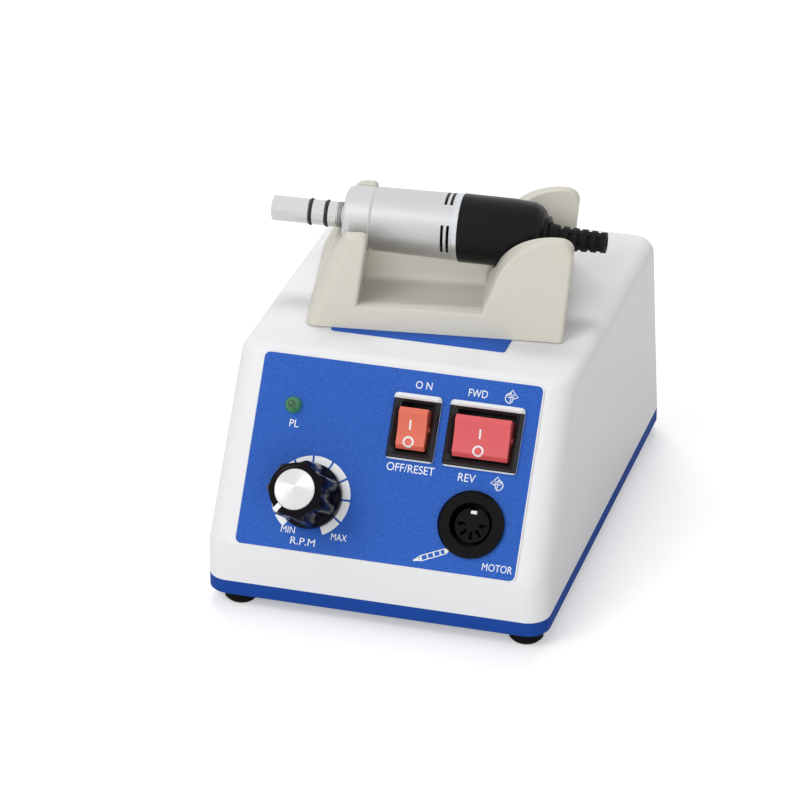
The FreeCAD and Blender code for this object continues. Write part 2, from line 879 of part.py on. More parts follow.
def left_wall_rounds(body):
    """Round the outer corners of the left wall, then the two long edges of its top."""
    end, top = -number("left_wall_outer"), number("left_wall_top")
    round_edges(body, "cradle_corner", lambda edge: is_upright(edge, 15) and edge.CenterOfMass.x < end)
    round_edges(body, "left_wall_round", lambda edge: is_level(edge, top) and lies_back(edge))


def lies_back(edge):
    """Edge that runs from the front to the back of the cradle."""
    backs = [vertex.Y for vertex in edge.Vertexes]
    return max(backs) - min(backs) > number("cradle_depth / 2")


def lean_cuts(body):
    """Front and back faces that lean in towards the top."""
    for hand in ("-1", "1"):
        lean = sketch_on(body, "YZ_Plane")
        outside = "%s * (cradle_depth / 2 + 3 * cradle_lean_end)" % hand
        inside = "%s * (cradle_depth / 2 - cradle_lean_end)" % hand
        foot = "%s * cradle_depth / 2" % hand
        add_polygon(lean, [(foot, "0"), (outside, "0"), (outside, "cradle_top"), (inside, "cradle_top")])
        pocket(body, lean, "4 * cradle_left", both_ways=True)


def scoop(body):
    """Shallow round hollow between the front and back rails."""
    middle = number("rail_right - rail_left") / 2
    sketch = sketch_on(body, "YZ_Plane", offset=skewed(middle))
    reach = number("cradle_depth / 2 - rail_width") - number("cradle_lean_end * rail_height / cradle_top")
    rim = number("rail_height")
    near_rim, far_rim = FreeCAD.Vector(-reach, rim, 0), FreeCAD.Vector(reach, rim, 0)
    bottom = FreeCAD.Vector(0, rim - number("scoop_depth"), 0)
    sketch.addGeometry(Part.Arc(near_rim, bottom, far_rim), False)
    sketch.addGeometry(Part.LineSegment(far_rim, near_rim), False)
    pocket(body, sketch, "rail_left + rail_right - 2 * hole_gap", both_ways=True)


def notch(body, side):
    """V notch with a round bottom through one end wall, for the handpiece to lie in."""
    across, bottom, radius, flare = [
        number("%s_notch_%s" % (side, word)) for word in ("across", "bottom", "round", "flare")
    ]
    sketch = sketch_on(body, "YZ_Plane", offset=place(0, 0, across))
    angle = math.radians(flare)
    tangent_across = radius * math.cos(angle)
    tangent_up = bottom + radius - radius * math.sin(angle)
    rim = number("cradle_top + cradle_lean_end")
    rim_across = tangent_across + (rim - tangent_up) * math.tan(angle)
    left_rim, right_rim = FreeCAD.Vector(-rim_across, rim, 0), FreeCAD.Vector(rim_across, rim, 0)
    left = FreeCAD.Vector(-tangent_across, tangent_up, 0)
    right = FreeCAD.Vector(tangent_across, tangent_up, 0)
    sketch.addGeometry(Part.LineSegment(left_rim, left), False)
    sketch.addGeometry(Part.Arc(left, FreeCAD.Vector(0, bottom, 0), right), False)
    sketch.addGeometry(Part.LineSegment(right, right_rim), False)
    sketch.addGeometry(Part.LineSegment(right_rim, left_rim), False)
    pocket(body, sketch, "notch_length", both_ways=True)


def on_leaning_face(point, hand):
    """Whether a point lies on the cradle's front face, or on its back face."""
    reach = number("cradle_depth / 2") - point.z * number("cradle_lean_end / cradle_top")
    return near(point.y, hand * reach)


def soften(body, hand):
    """Round the whole outline of the front or back face, apart from its foot."""

    def wanted(edge):
        middle = edge.valueAt((edge.FirstParameter + edge.LastParameter) / 2)
        points = [middle] + [vertex.Point for vertex in edge.Vertexes]
        return middle.z > 0.5 and all(on_leaning_face(point, hand) for point in points)

    round_edges(body, "cradle_soft", wanted)


def cradle():
    """One-piece rest: a scooped rail between two notched end walls with horns."""
    body = new_body("cradle")
    cradle_walls(body)
    lean_cuts(body)
    left_wall_rounds(body)
    scoop(body)
    for side in ("left", "right"):
        notch(body, side)
    for hand in (-1, 1):
        soften(body, hand)
    pilots = sketch_on(body, "XY_Plane")
    for hand in ("-1", "1"):
        add_circle(pilots, "%s * cradle_screw_across" % hand, "0", "screw_pilot")
    pocket(body, pilots, "cradle_screw_length", backwards=True)
    return piece(body, "cradle", CASE.multiply(CRADLE_IN_CASE))


def cradle_screws():
    """Two screws from inside the roof into the cradle."""
    low = -number("case_wall + label_thick")
    spots = [FreeCAD.Vector(hand * number("cradle_screw_across"), 0, low) for hand in (-1, 1)]
    screws = [pan_head_screw(spot, "cradle_screw_length") for spot in spots]
    return joined("cradle_screws", screws, CASE.multiply(CRADLE_IN_CASE))


# Rocker switches


def switch_body(label, across, bezel):
    """Snap-in rocker switch frame with an open well and two trunnion holes."""
    body = new_body(label)
    flange = sketch_on(body, "XY_Plane")
    add_rectangle(flange, "0", "0", bezel, "bezel_length")
    pad(body, flange, "bezel_rise")
    round_edges(body, "bezel_corner", lambda edge: is_upright(edge, 0.5))
    top = number("bezel_rise")
    bevel_edges(body, "bezel_bevel", lambda edge: is_level(edge, top))
    block = sketch_on(body, "XY_Plane")
    inset = "2 * bezel_overlap - 2 * hole_gap"
    add_rectangle(block, "0", "0", "%s - %s" % (bezel, inset), "bezel_length - %s" % inset)
    pad(body, block, "switch_depth", backwards=True)
    well = sketch_on(body, "XY_Plane", "bezel_rise")
    add_rectangle(well, "0", "0", "%s - 2 * bezel_rim" % bezel, "well_length")
    pocket(body, well, "bezel_rise + well_depth")
    half_length = number("well_length / 2 + hole_gap")
    half_width = number("(%s) / 2 - bezel_rim + hole_gap" % bezel)
    bevel_edges(
        body,
        "well_bevel",
        lambda edge: is_level(edge, top)
        and all(abs(v.X) < half_width and abs(v.Y) < half_length for v in edge.Vertexes),
    )
    bores = sketch_on(body, "YZ_Plane")
    add_circle(bores, "0", "rocker_pivot", "trunnion_round + trunnion_gap")
    pocket(body, bores, "%s - 2 * bezel_rim + 2 * trunnion_lap + 4 * hole_gap" % bezel, both_ways=True)
    return piece(body, label, on_panel(across, "rocker_row", "sheet_thick"))


def switch_terminals(label, across, spots):
    """Blade terminals under a switch."""
    thick, width = number("terminal_thick"), number("terminal_width")
    low, high = -number("terminal_tip"), -number("switch_depth")
    blades = []
    for left, up in spots:
        corner = FreeCAD.Vector(left - thick / 2, up - width / 2, low)
        blades.append(Part.makeBox(thick, width, high - low, corner))
    return joined(label, blades, on_panel(across, "rocker_row", "sheet_thick"))


def rocker(label, across, bezel):
    """Rocker with a dished face, bevelled ends and side trunnions, its lower half pressed in."""
    body = new_body(label)
    side = sketch_on(body, "YZ_Plane")
    ends = []
    for hand in ("-1", "1"):
        ends.append(("%s * rocker_hip" % hand, "-rocker_hip_drop"))
        ends.append(("%s * rocker_reach" % hand, "rocker_rise - rocker_end_drop"))
        ends.append(("%s * (rocker_reach - rocker_end)" % hand, "rocker_rise"))
    outline = [("-rocker_keel", "-rocker_keel_drop"), ("rocker_keel", "-rocker_keel_drop")]
    outline += ends[3:] + [("0", "rocker_waist")] + ends[2::-1]
    add_polygon(side, outline)
    width = "%s - 2 * bezel_rim" % bezel
    pad(body, side, "%s - 2 * rocker_side_gap" % width, both_ways=True)
    waist = number("rocker_waist")
    round_edges(
        body, "rocker_dish", lambda edge: is_level(edge, waist) and all(near(v.Y, 0) for v in edge.Vertexes)
    )
    pins = sketch_on(body, "YZ_Plane")
    add_circle(pins, "0", "0", "trunnion_round")
    pad(body, pins, "%s + 2 * trunnion_lap" % width, both_ways=True)
    turn = FreeCAD.Rotation(FreeCAD.Vector(1, 0, 0), number("rocker_tilt"))
    tilt = place(0, 0, number("rocker_pivot"), turn)
    return piece(body, label, on_panel(across, "rocker_row", "sheet_thick").multiply(tilt))


# Lamp, speed control and motor socket


def pilot_lamp():
    """Domed lens with a small rim, and the spring clip behind the panel."""
    spot = on_panel("lamp_across", "lamp_up", "sheet_thick")
    upright_piece(
        "pilot_lamp",
        [
            ("0", "-9"),
            ("lamp_barrel", "-9"),
            ("lamp_barrel", "0"),
            ("lamp_round", "0"),
            ("lamp_round", "0.8"),
            ("lamp_round - 0.6", "1.8"),
            ("lamp_round - 1.3", "lamp_rise - 0.4"),
            ("0", "lamp_rise"),
        ],
        spot,
    )
    low, high = "-6", "-case_wall - sheet_thick"
    inner, outer = "lamp_barrel", "lamp_barrel + 1.5"
    upright_piece("pilot_lamp_clip", [(inner, low), (outer, low), (outer, high), (inner, high)], spot)


def potentiometer(spot):
    """Round body and threaded bush, the spindle that turns in it and the nut behind the knob."""
    bore = "spindle_round + spindle_gap"
    upright_piece(
        "potentiometer_body",
        [
            ("0", "-pot_bottom"),
            ("pot_round", "-pot_bottom"),
            ("pot_round", "-case_wall - sheet_thick"),
            ("bush_round", "-case_wall - sheet_thick"),
            ("bush_round", "bush_top"),
            (bore, "bush_top"),
            (bore, "-8"),
            ("0", "-8"),
        ],
        spot,
    )
    upright_piece(
        "potentiometer_shaft",
        [("0", "-7.8"), ("spindle_round", "-7.8"), ("spindle_round", "spindle_top"), ("0", "spindle_top")],
        spot,
    )
    nut = new_body("potentiometer_nut")
    hexagon = sketch_on(nut, "XY_Plane")
    reach = number("pot_nut_across") / 2
    turns = [math.radians(60 * i) for i in range(6)]
    add_polygon(hexagon, [("%.4f" % (reach * math.cos(a)), "%.4f" % (reach * math.sin(a))) for a in turns])
    add_circle(hexagon, "0", "0", "bush_round")
    pad(nut, hexagon, "pot_nut_thick")
    piece(nut, "potentiometer_nut", spot)


def speed_knob(spot):
    """Fluted knob with a skirt, hollow underneath round the spindle's hub, and its cap."""
    seat = "knob_top - knob_cap_seat"
    knob = new_body("speed_knob")
    turn_up(
        knob,
        "XZ_Plane",
        "V_Axis",
        [
            ("knob_skirt - 1.4", "knob_foot"),
            ("knob_skirt", "knob_foot"),
            ("knob_skirt", "knob_skirt_top - 0.6"),
            ("knob_round + 0.1", "knob_skirt_top"),
            ("knob_round", "knob_top - 1.0"),
            ("knob_round - 1.0", "knob_top"),
            ("knob_cap_round + 0.05", "knob_top"),
            ("knob_cap_round + 0.05", seat),
            ("0", seat),
            ("0", "spindle_top + 0.2"),
            ("spindle_round + 0.02", "spindle_top + 0.2"),
            ("spindle_round + 0.02", "knob_hub_foot"),
            ("knob_hub", "knob_hub_foot"),
            ("knob_hub", "knob_roof"),
            ("knob_hub + 1.7", "knob_roof"),
            ("knob_skirt - 2.2", "knob_skirt_top"),
        ],
    )
    flute = sketch_on(knob, "XY_Plane", "knob_skirt_top")
    add_circle(flute, "flute_circle", "0", "flute_round")
    cut = pocket(knob, flute, "knob_top", backwards=True)
    around(knob, "knob_flutes", cut, (flute, ["N_Axis"]), "flute_count")
    piece(knob, "speed_knob", spot)
    upright_piece(
        "knob_cap",
        [
            ("0", seat),
            ("knob_cap_round", seat),
            ("knob_cap_round", "knob_top + 0.35"),
            ("knob_cap_round - 0.3", "knob_top + 0.6"),
            ("0", "knob_top + 0.6"),
        ],
        spot,
    )


def speed_control():
    spot = on_panel("knob_across", "knob_up", "sheet_thick")
    potentiometer(spot)
    speed_knob(spot)


def motor_socket_shell(spot):
    """Flanged shell with a blind mouth, and the ring nut behind the panel."""
    upright_piece(
        "motor_socket",
        [
            ("socket_mouth", "-socket_floor"),
            ("socket_mouth", "socket_rise - 0.3"),
            ("socket_mouth + 0.3", "socket_rise"),
            ("socket_flange - 0.9", "socket_rise"),
            ("socket_flange", "socket_rise - 0.9"),
            ("socket_flange", "0"),
            ("socket_barrel", "0"),
            ("socket_barrel", "-socket_depth"),
            ("0", "-socket_depth"),
            ("0", "-socket_floor"),
        ],
        spot,
    )
    back, front = "-case_wall - sheet_thick - 2.6", "-case_wall - sheet_thick"
    inner, outer = "socket_barrel", "socket_flange - 0.6"
    upright_piece("motor_socket_nut", [(inner, back), (outer, back), (outer, front), (inner, front)], spot)


def motor_socket():
    """Round five-way socket: shell and nut, core with a key and contact slots, contact leaves."""
    spot = on_panel("socket_across", "socket_up", "sheet_thick")
    motor_socket_shell(spot)
    core = new_body("motor_socket_core")
    plan = sketch_on(core, "XY_Plane")
    add_circle(plan, "0", "0", "socket_core")
    pad(core, plan, "socket_floor - core_sink", backwards=True)
    key = sketch_on(core, "XY_Plane")
    add_rectangle(key, "0", "socket_core", "key_width", "key_width")
    pocket(core, key, "key_depth")
    length, thick = number("contact_leaf_length"), number("contact_leaf_thick")
    low = -number("core_sink + contact_slot_depth")
    leaves = []
    for i in range(5):
        turn = FreeCAD.Rotation(FreeCAD.Vector(0, 0, 1), 180 + 45 * i)
        slot = sketch_on(core, "XY_Plane", offset=place(0, 0, 0, turn))
        add_rectangle(slot, "contact_circle", "0", "contact_slot_length", "contact_slot_width")
        pocket(core, slot, "contact_slot_depth")
        corner = FreeCAD.Vector(number("contact_circle") - length / 2, -thick / 2, low)
        leaf = Part.makeBox(length, thick, number("contact_leaf_height"), corner)
        leaf.Placement = place(0, 0, 0, turn).multiply(leaf.Placement)
        leaves.append(leaf)
    piece(core, "motor_socket_core", spot.multiply(place(0, 0, -number("core_sink"))))
    joined("motor_socket_contacts", leaves, spot)


# Back plate fittings


def blade_spots():
    """Two level blades and one raised middle blade of the mains inlet."""
    across, up = number("blade_across"), number("blade_up")
    return [(-across, -up), (across, -up), (0, up)]


def mains_inlet():
    """Shrouded appliance inlet with three blades."""
    spot = on_back("inlet_across", "inlet_up", "0")
    body = new_body("mains_inlet")
    flange = sketch_on(body, "XY_Plane")
    add_rectangle(flange, "0", "0", "inlet_flange_width", "inlet_flange_height")
    pad(body, flange, "inlet_flange_thick")
    round_edges(body, "case_wall", lambda edge: is_upright(edge, 0.5))
    block = sketch_on(body, "XY_Plane")
    add_rectangle(block, "0", "0", "inlet_block_width", "inlet_block_height")
    pad(body, block, "inlet_block_depth", backwards=True)
    mouth = sketch_on(body, "XY_Plane", "inlet_flange_thick")
    side, high = "inlet_mouth_width / 2", "inlet_mouth_height / 2"
    short_side, short_high = "%s - inlet_mouth_corner" % side, "%s - inlet_mouth_corner" % high
    add_polygon(
        mouth,
        [
            ("-" + side, "-" + high),
            (side, "-" + high),
            (side, short_high),
            (short_side, high),
            ("-(%s)" % short_side, high),
            ("-" + side, short_high),
        ],
    )
    pocket(body, mouth, "inlet_flange_thick + inlet_mouth_depth")
    slots = sketch_on(body, "XY_Plane", "-inlet_block_depth")
    for left, up in blade_spots():
        add_rectangle(slots, left, up, "blade_width", "blade_height")
    pocket(body, slots, "inlet_block_depth / 2", both_ways=True)
    piece(body, "mains_inlet", spot)
    width, height, back = number("blade_width"), number("blade_height"), number("blade_back")
    blades = []
    for left, up in blade_spots():
        corner = FreeCAD.Vector(left - width / 2, up - height / 2, -back)
        blades.append(Part.makeBox(width, height, back, corner))
    joined("mains_inlet_blades", blades, spot)


def fuse_drawer():
    """Panel fuse holder, its pull-out cap and the glass fuse that comes out with it."""
    spot = on_back("fuse_across", "fuse_up", "0")
    upright_piece(
        "fuse_holder",
        [
            ("fuse_bore", "2"),
            ("fuse_flange", "2"),
            ("fuse_flange", "0"),
            ("fuse_barrel", "0"),
            ("fuse_barrel", "-fuse_depth"),
            ("0", "-fuse_depth"),
            ("0", "2 - fuse_depth"),
            ("fuse_bore", "2 - fuse_depth"),
        ],
        spot,
    )
    cap = upright_piece(
        "fuse_cap",
        [
            ("0", "-6"),
            ("fuse_plug", "-6"),
            ("fuse_plug", "2.2"),
            ("fuse_knob", "2.2"),
            ("fuse_knob", "fuse_knob_top - 0.6"),
            ("fuse_knob - 0.6", "fuse_knob_top"),
            ("0", "fuse_knob_top"),
        ],
        spot,
    )
    slot = sketch_on(cap, "XY_Plane", "fuse_knob_top")
    add_rectangle(slot, "0", "0", "8", "1.4")
    pocket(cap, slot, "1.4")
    low = "-6 - fuse_length"
    upright_piece("fuse_link", [("0", low), ("fuse_round", low), ("fuse_round", "-6"), ("0", "-6")], spot)


def foot_control_jack():
    """Jack socket for the foot control lead."""
    spot = on_back("jack_across", "jack_up", "0")
    upright_piece(
        "foot_control_jack",
        [
            ("jack_bore", "3"),
            ("jack_neck", "3"),
            ("jack_neck", "-case_wall"),
            ("jack_body", "-case_wall"),
            ("jack_body", "-jack_depth"),
            ("0", "-jack_depth"),
            ("0", "-jack_bore_depth"),
            ("jack_bore", "-jack_bore_depth"),
        ],
        spot,
    )
    rim, top = "jack_body", "jack_nut_thick"
    upright_piece("foot_control_nut", [("jack_neck", "0"), (rim, "0"), (rim, top), ("jack_neck", top)], spot)


# Inside the control box


def centred_box(width, depth, height, low):
    """Box about the local Z axis, from a given height upwards."""
    return Part.makeBox(width, depth, height, FreeCAD.Vector(-width / 2, -depth / 2, low))


def transformer():
    """Laminated core on the tray floor with its winding round the middle limb."""
    width, thick, height = number("core_width"), number("core_thick"), number("core_height")
    window, limb, yoke = number("core_window"), number("core_limb"), number("core_yoke")
    gap = number("coil_gap")
    opening = height - 2 * yoke
    spot = CASE.multiply(place(-22, 100, number("tray_bottom + tray_floor")))
    middle_limb = centred_box(limb, thick, opening, yoke)
    windows = centred_box(limb + 2 * window, thick, opening, yoke).cut(middle_limb)
    core = doc.addObject("Part::Feature", "transformer_core_stack")
    core.Shape = centred_box(width, thick, height, 0).cut(windows)
    piece(core, "transformer_core", spot)
    tall = opening - 4 * gap
    coil = centred_box(limb + 2 * (window - gap), number("coil_depth"), tall, yoke + 2 * gap)
    winding = doc.addObject("Part::Feature", "transformer_winding_coil")
    winding.Shape = coil.cut(centred_box(limb, thick, tall, yoke + 2 * gap))
    piece(winding, "transformer_winding", spot)


def heat_sink(spot):
    """Finned aluminium sink, padded from its front view."""
    sink = new_body("heat_sink")
    fins = sketch_on(sink, "XZ_Plane")
    foot, base, top = "board_thick", "board_thick + sink_base", "board_thick + sink_height"
    count = 6
    left = "sink_right - %d * fin_pitch + fin_pitch - fin_thick" % count
    outline = [(left, foot), ("sink_right", foot)]
    for i in range(count):
        right = "sink_right - %d * fin_pitch" % i
        outline += [(right, top), ("%s - fin_thick" % right, top)]
        if i < count - 1:
            outline += [("%s - fin_thick" % right, base), ("%s - fin_pitch" % right, base)]
    add_polygon(fins, outline)
    pad(sink, fins, "sink_length", both_ways=True)
    piece(sink, "heat_sink", spot.multiply(place(0, 8, 0)))


def electronics():
    """Speed board with its heat sink and smoothing capacitors."""
    spot = CASE.multiply(place(-5, 50, number("tray_bottom + tray_floor + stud_height")))
    board = new_body("speed_board")
    plan = sketch_on(board, "XY_Plane")
    add_rectangle(plan, "0", "0", "board_width", "board_depth")
    pad(board, plan, "board_thick")
    piece(board, "speed_board", spot)
    heat_sink(spot)
    cans = []
    for back in (-6, 12):
        foot = FreeCAD.Vector(-28, back, number("board_thick"))
        cans.append(Part.makeCylinder(number("can_round"), number("can_height"), foot))
    joined("smoothing_capacitors", cans, spot)


# Handpiece, from the nose to the lead


def seal_ring(along):
    """Rubber ring in a nose groove, standing just proud of the steel."""
    floor = number("nose_round - seal_groove")
    crest = number("nose_round + seal_proud")
    half = number("seal_width") / 2
    outline = [(-half, 0), (-half, 0.7), (-0.4 * half, 1), (0.4 * half, 1), (half, 0.7), (half, 0)]
    points = [FreeCAD.Vector(along + x, floor + (crest - floor) * share, 0) for x, share in outline]
    face = Part.Face(Part.makePolygon(points + points[:1]))
    return face.revolve(FreeCAD.Vector(0, 0, 0), FreeCAD.Vector(1, 0, 0), 360)


def groove(start, end, depth):
    """Four outline corners of a groove round the nose."""
    floor = "nose_round - %s" % depth
    return [(start, "nose_round"), (start, floor), (end, floor), (end, "nose_round")]


def nose():
    """Steel spigot with a rounded lip and three grooves, its two seals and the clip ring."""
    body = new_body("nose_spigot")
    outline = [("nose_lip / 2", "nose_bore"), ("0", "nose_bore + 0.2"), ("0", "nose_round - nose_lip")]
    outline += [("nose_lip * 0.3", "nose_round - nose_lip * 0.3"), ("nose_lip", "nose_round")]
    for seal in ("seal_front", "seal_back"):
        half = "seal_groove"
        outline += groove("%s - %s" % (seal, half), "%s + %s" % (seal, half), "seal_groove")
    outline += groove("clip_groove_start", "clip_groove_end", "clip_groove")
    outline += [("collar_start + collar_lap", "nose_round"), ("collar_start + collar_lap", "nose_bore")]
    turn_up(body, "XY_Plane", "H_Axis", outline)
    piece(body, "nose_spigot", on_handpiece("0"))
    rings = [seal_ring(number(along)) for along in ("seal_front", "seal_back")]
    joined("nose_seals", rings, on_handpiece("0"))
    floor, crest = "nose_round - clip_groove", "nose_round + 0.1"
    on_axis_piece(
        "nose_clip", [("clip_start", floor), ("clip_start", crest), ("clip_end", crest), ("clip_end", floor)]
    )


def front_collar():
    """Rounded collar that carries the nose and plugs into the sleeve."""
    plug = "sleeve_start + collar_lap"
    seat, bore = "collar_start + collar_lap", "nose_round + 0.02"
    on_axis_piece(
        "front_collar",
        [
            ("collar_start", bore),
            ("collar_start", "collar_round - 1.4"),
            ("collar_start + 0.3", "collar_round - 0.8"),
            ("collar_start + 1.0", "collar_round - 0.4"),
            ("collar_start + 2.4", "collar_round"),
            ("sleeve_start - 0.6", "collar_round"),
            ("sleeve_start", "collar_round - 0.3"),
            (plug, "sleeve_bore"),
            (plug, "sleeve_bore - 1.6"),
            ("sleeve_start", "collar_seat"),
            (seat, "collar_seat"),
            (seat, bore),
        ],
    )


def motor_sleeve():
    """Sleeve that widens to the back, with four pairs of ventilation slots."""
    sleeve = new_body("motor_sleeve")
    turn_up(
        sleeve,
        "XY_Plane",
        "H_Axis",
        [
            ("sleeve_start + 0.1", "sleeve_bore + 0.8"),
            ("sleeve_start + 0.1", "sleeve_front_round - 0.3"),
            ("sleeve_start + 0.5", "sleeve_front_round"),
            ("ring_start", "sleeve_back_round"),
            ("ring_start", "sleeve_bore"),
            ("sleeve_start + collar_lap + 0.1", "sleeve_bore"),
            ("sleeve_start + collar_lap + 0.1", "sleeve_bore + 0.1"),
        ],
    )
    slots = sketch_on(sleeve, "XZ_Plane")
    for along in ("vent_front", "vent_back"):
        add_rectangle(slots, along, "0", "vent_width", "vent_length")
    first = pocket(sleeve, slots, "2 * sleeve_front_round")
    around(sleeve, "sleeve_vents", first, (slots, ["H_Axis"]), "4")
    piece(sleeve, "motor_sleeve", on_handpiece("0"))


def handpiece_shell():
    """Front collar, ventilated sleeve, trim ring and rear cap."""
    front_collar()
    motor_sleeve()
    rim = "sleeve_back_round + 0.1"
    on_axis_piece(
        "sleeve_trim_ring",
        [
            ("ring_start", "sleeve_bore"),
            ("ring_start", "sleeve_back_round"),
            ("ring_start + 0.3", rim),
            ("cap_start", rim),
            ("cap_start", "sleeve_bore"),
        ],
    )
    on_axis_piece(
        "rear_cap",
        [
            ("cap_start", "cap_bore"),
            ("cap_start", "cap_round - 0.2"),
            ("cap_start + 0.2", "cap_round"),
            ("cap_end - 12", "cap_round"),
            ("cap_end - 5.4", "cap_round - 0.5"),
            ("cap_end - 3.4", "cap_round - 1.3"),
            ("cap_end - 1.9", "cap_round - 2.7"),
            ("cap_end - 1.1", "cap_round - 4.4"),
            ("cap_end", "cap_round - 4.6"),
            ("cap_end", "cap_mouth"),
            ("cap_end - cap_mouth_depth", "cap_mouth"),
            ("cap_end - 6", "cap_bore"),
        ],
    )


def cable_boot():
    """Ribbed strain relief that tapers along the lead, which itself is not fitted."""
    body = new_body("cable_boot")
    plug = "cap_end - boot_plug_depth"
    step = "cap_end + boot_ring_length"
    outline = [(plug, "lead_bore"), (plug, "boot_plug"), ("cap_end", "boot_plug"), ("cap_end", "boot_ring")]
    outline += [(step, "boot_ring"), (step, "boot_neck_front")]
    count = int(number("boot_rib_count"))
    for i in range(count):
        rib = "boot_rib_front - %d * (boot_rib_front - boot_rib_back) / %d" % (i, count - 1)
        end = "boot_end - %d * (boot_rib_width + boot_groove_width)" % (count - 1 - i)
        start = "%s - boot_rib_width" % end
        floor = "%s - boot_groove_depth" % rib
        if i == 0:
            outline.append(("%s - boot_groove_width" % start, "boot_neck_back"))
        outline += [("%s - boot_groove_width" % start, floor), (start, floor), (start, rib), (end, rib)]
    outline.append(("boot_end", "lead_bore"))
    turn_up(body, "XY_Plane", "H_Axis", outline)
    return piece(body, "cable_boot", on_handpiece("0"))


def pipe_along(start, length, outer, inner):
    """Plain ring about the handpiece axis."""
    base, axis = FreeCAD.Vector(start, 0, 0), FreeCAD.Vector(1, 0, 0)
    return Part.makeCylinder(outer, length, base, axis).cut(Part.makeCylinder(inner, length, base, axis))


def field_magnets():
    """Two magnet arcs that face each other across the armature."""
    start, length, span = number("magnet_start"), number("magnet_length"), number("magnet_span")
    origin, axis = FreeCAD.Vector(0, 0, 0), FreeCAD.Vector(1, 0, 0)
    arcs = []
    for hand in (0, 180):
        arc = Part.makeCylinder(number("sleeve_bore"), length, FreeCAD.Vector(start, 0, 0), axis, span)
        arc = arc.cut(Part.makeCylinder(number("magnet_bore"), length, FreeCAD.Vector(start, 0, 0), axis))
        arc.rotate(origin, axis, hand + 90 - span / 2)
        arcs.append(arc)
    joined("field_magnets", arcs, on_handpiece("0"))


def brush_gear():
    """Ring that guides two carbon brushes onto the commutator and holds the rear bearing."""
    holder = new_body("brush_holder")
    end = "bearing_back + bearing_width - 0.4"
    turn_up(
        holder,
        "XY_Plane",
        "H_Axis",
        [
            ("holder_start", "cap_bore"),
            ("holder_end", "cap_bore"),
            ("holder_end", "bearing_round + 1"),
            (end, "bearing_round + 1"),
            (end, "bearing_round"),
            ("bearing_back - 1", "bearing_round"),
            ("holder_end", "holder_bore"),
            ("holder_start", "holder_bore"),
        ],
    )
    guides = sketch_on(holder, "XZ_Plane")
    add_rectangle(guides, "brush_along", "0", "brush_side + 0.2", "brush_side + 0.2")
    pocket(holder, guides, "4 * cap_bore", both_ways=True)
    piece(holder, "brush_holder", on_handpiece("0"))
    side, inner, outer = number("brush_side"), number("brush_inner"), number("brush_outer")
    front = number("brush_along") - side / 2
    brushes = []
    for low in (inner, -outer):
        corner = FreeCAD.Vector(front, low, -side / 2)
        brushes.append(Part.makeBox(side, outer - inner, side, corner))
    joined("carbon_brushes", brushes, on_handpiece("0"))


def motor_stator():
    """Bearings, field magnets and brush gear that stay still in the sleeve."""
    bore = "shaft_round + bearing_gap"
    for label, along in (("front_bearing", "bearing_front"), ("rear_bearing", "bearing_back")):
        end = "%s + bearing_width" % along
        on_axis_piece(label, [(along, bore), (along, "bearing_round"), (end, "bearing_round"), (end, bore)])
    field_magnets()
    brush_gear()


def armature():
    """Slotted armature core with a plain winding ring at each end."""
    core = new_body("armature_core")
    start, end, inner, outer = "armature_start", "armature_end", "shaft_round", "armature_round"
    turn_up(core, "XY_Plane", "H_Axis", [(start, inner), (start, outer), (end, outer), (end, inner)])
    slot = sketch_on(core, "YZ_Plane", start)
    add_rectangle(slot, "armature_slot_centre", "0", "armature_slot_depth", "armature_slot_width")
    cut = pocket(core, slot, "armature_end - armature_start + 1", backwards=True)
    around(core, "armature_slots", cut, (slot, ["N_Axis"]), "armature_slot_count")
    piece(core, "armature_core", on_handpiece("0"))
    length, outer, inner = number("winding_length"), number("winding_round"), number("shaft_round")
    fronts = (number("armature_start") - length, number("armature_end"))
    joined("armature_windings", [pipe_along(low, length, outer, inner) for low in fronts], on_handpiece("0"))


def cooling_fan():
    """Disc on a hub with flat blades behind it."""
    fan = new_body("cooling_fan")
    start, disc, end = "fan_start", "fan_start + fan_disc", "fan_end"
    corners = [(start, "shaft_round"), (start, "fan_round"), (disc, "fan_round")]
    corners += [(disc, "fan_hub"), (end, "fan_hub"), (end, "shaft_round")]
    turn_up(fan, "XY_Plane", "H_Axis", corners)
    blade = sketch_on(fan, "XZ_Plane")
    length = "fan_end - fan_start - fan_disc / 2"
    reach = "fan_round - fan_hub + 0.2"
    add_rectangle(blade, "fan_end - (%s) / 2" % length, "(fan_round + fan_hub - 0.2) / 2", length, reach)
    vane = pad(fan, blade, "fan_blade_thick", both_ways=True)
    around(fan, "fan_blades", vane, (blade, ["H_Axis"]), "fan_blade_count")
    piece(fan, "cooling_fan", on_handpiece("0"))


def motor_rotor():
    """Shaft with the drive dog, armature, commutator and cooling fan."""
    start, end = "shaft_start", "shaft_end"
    on_axis_piece("motor_shaft", [(start, "0"), (start, "shaft_round"), (end, "shaft_round"), (end, "0")])
    dog = new_body("drive_dog")
    start, end = "dog_start", "dog_end"
    corners = [(start, "shaft_round"), (start, "dog_round"), (end, "dog_round"), (end, "shaft_round")]
    turn_up(dog, "XY_Plane", "H_Axis", corners)
    slot = sketch_on(dog, "XZ_Plane")
    add_rectangle(slot, "dog_start + 0.8", "0", "2", "dog_slot")
    pocket(dog, slot, "4 * dog_round", both_ways=True)
    piece(dog, "drive_dog", on_handpiece("0"))
    armature()
    start, end, crest = "commutator_start", "commutator_end", "commutator_round"
    on_axis_piece("commutator", [(start, "shaft_round"), (start, crest), (end, crest), (end, "shaft_round")])
    cooling_fan()


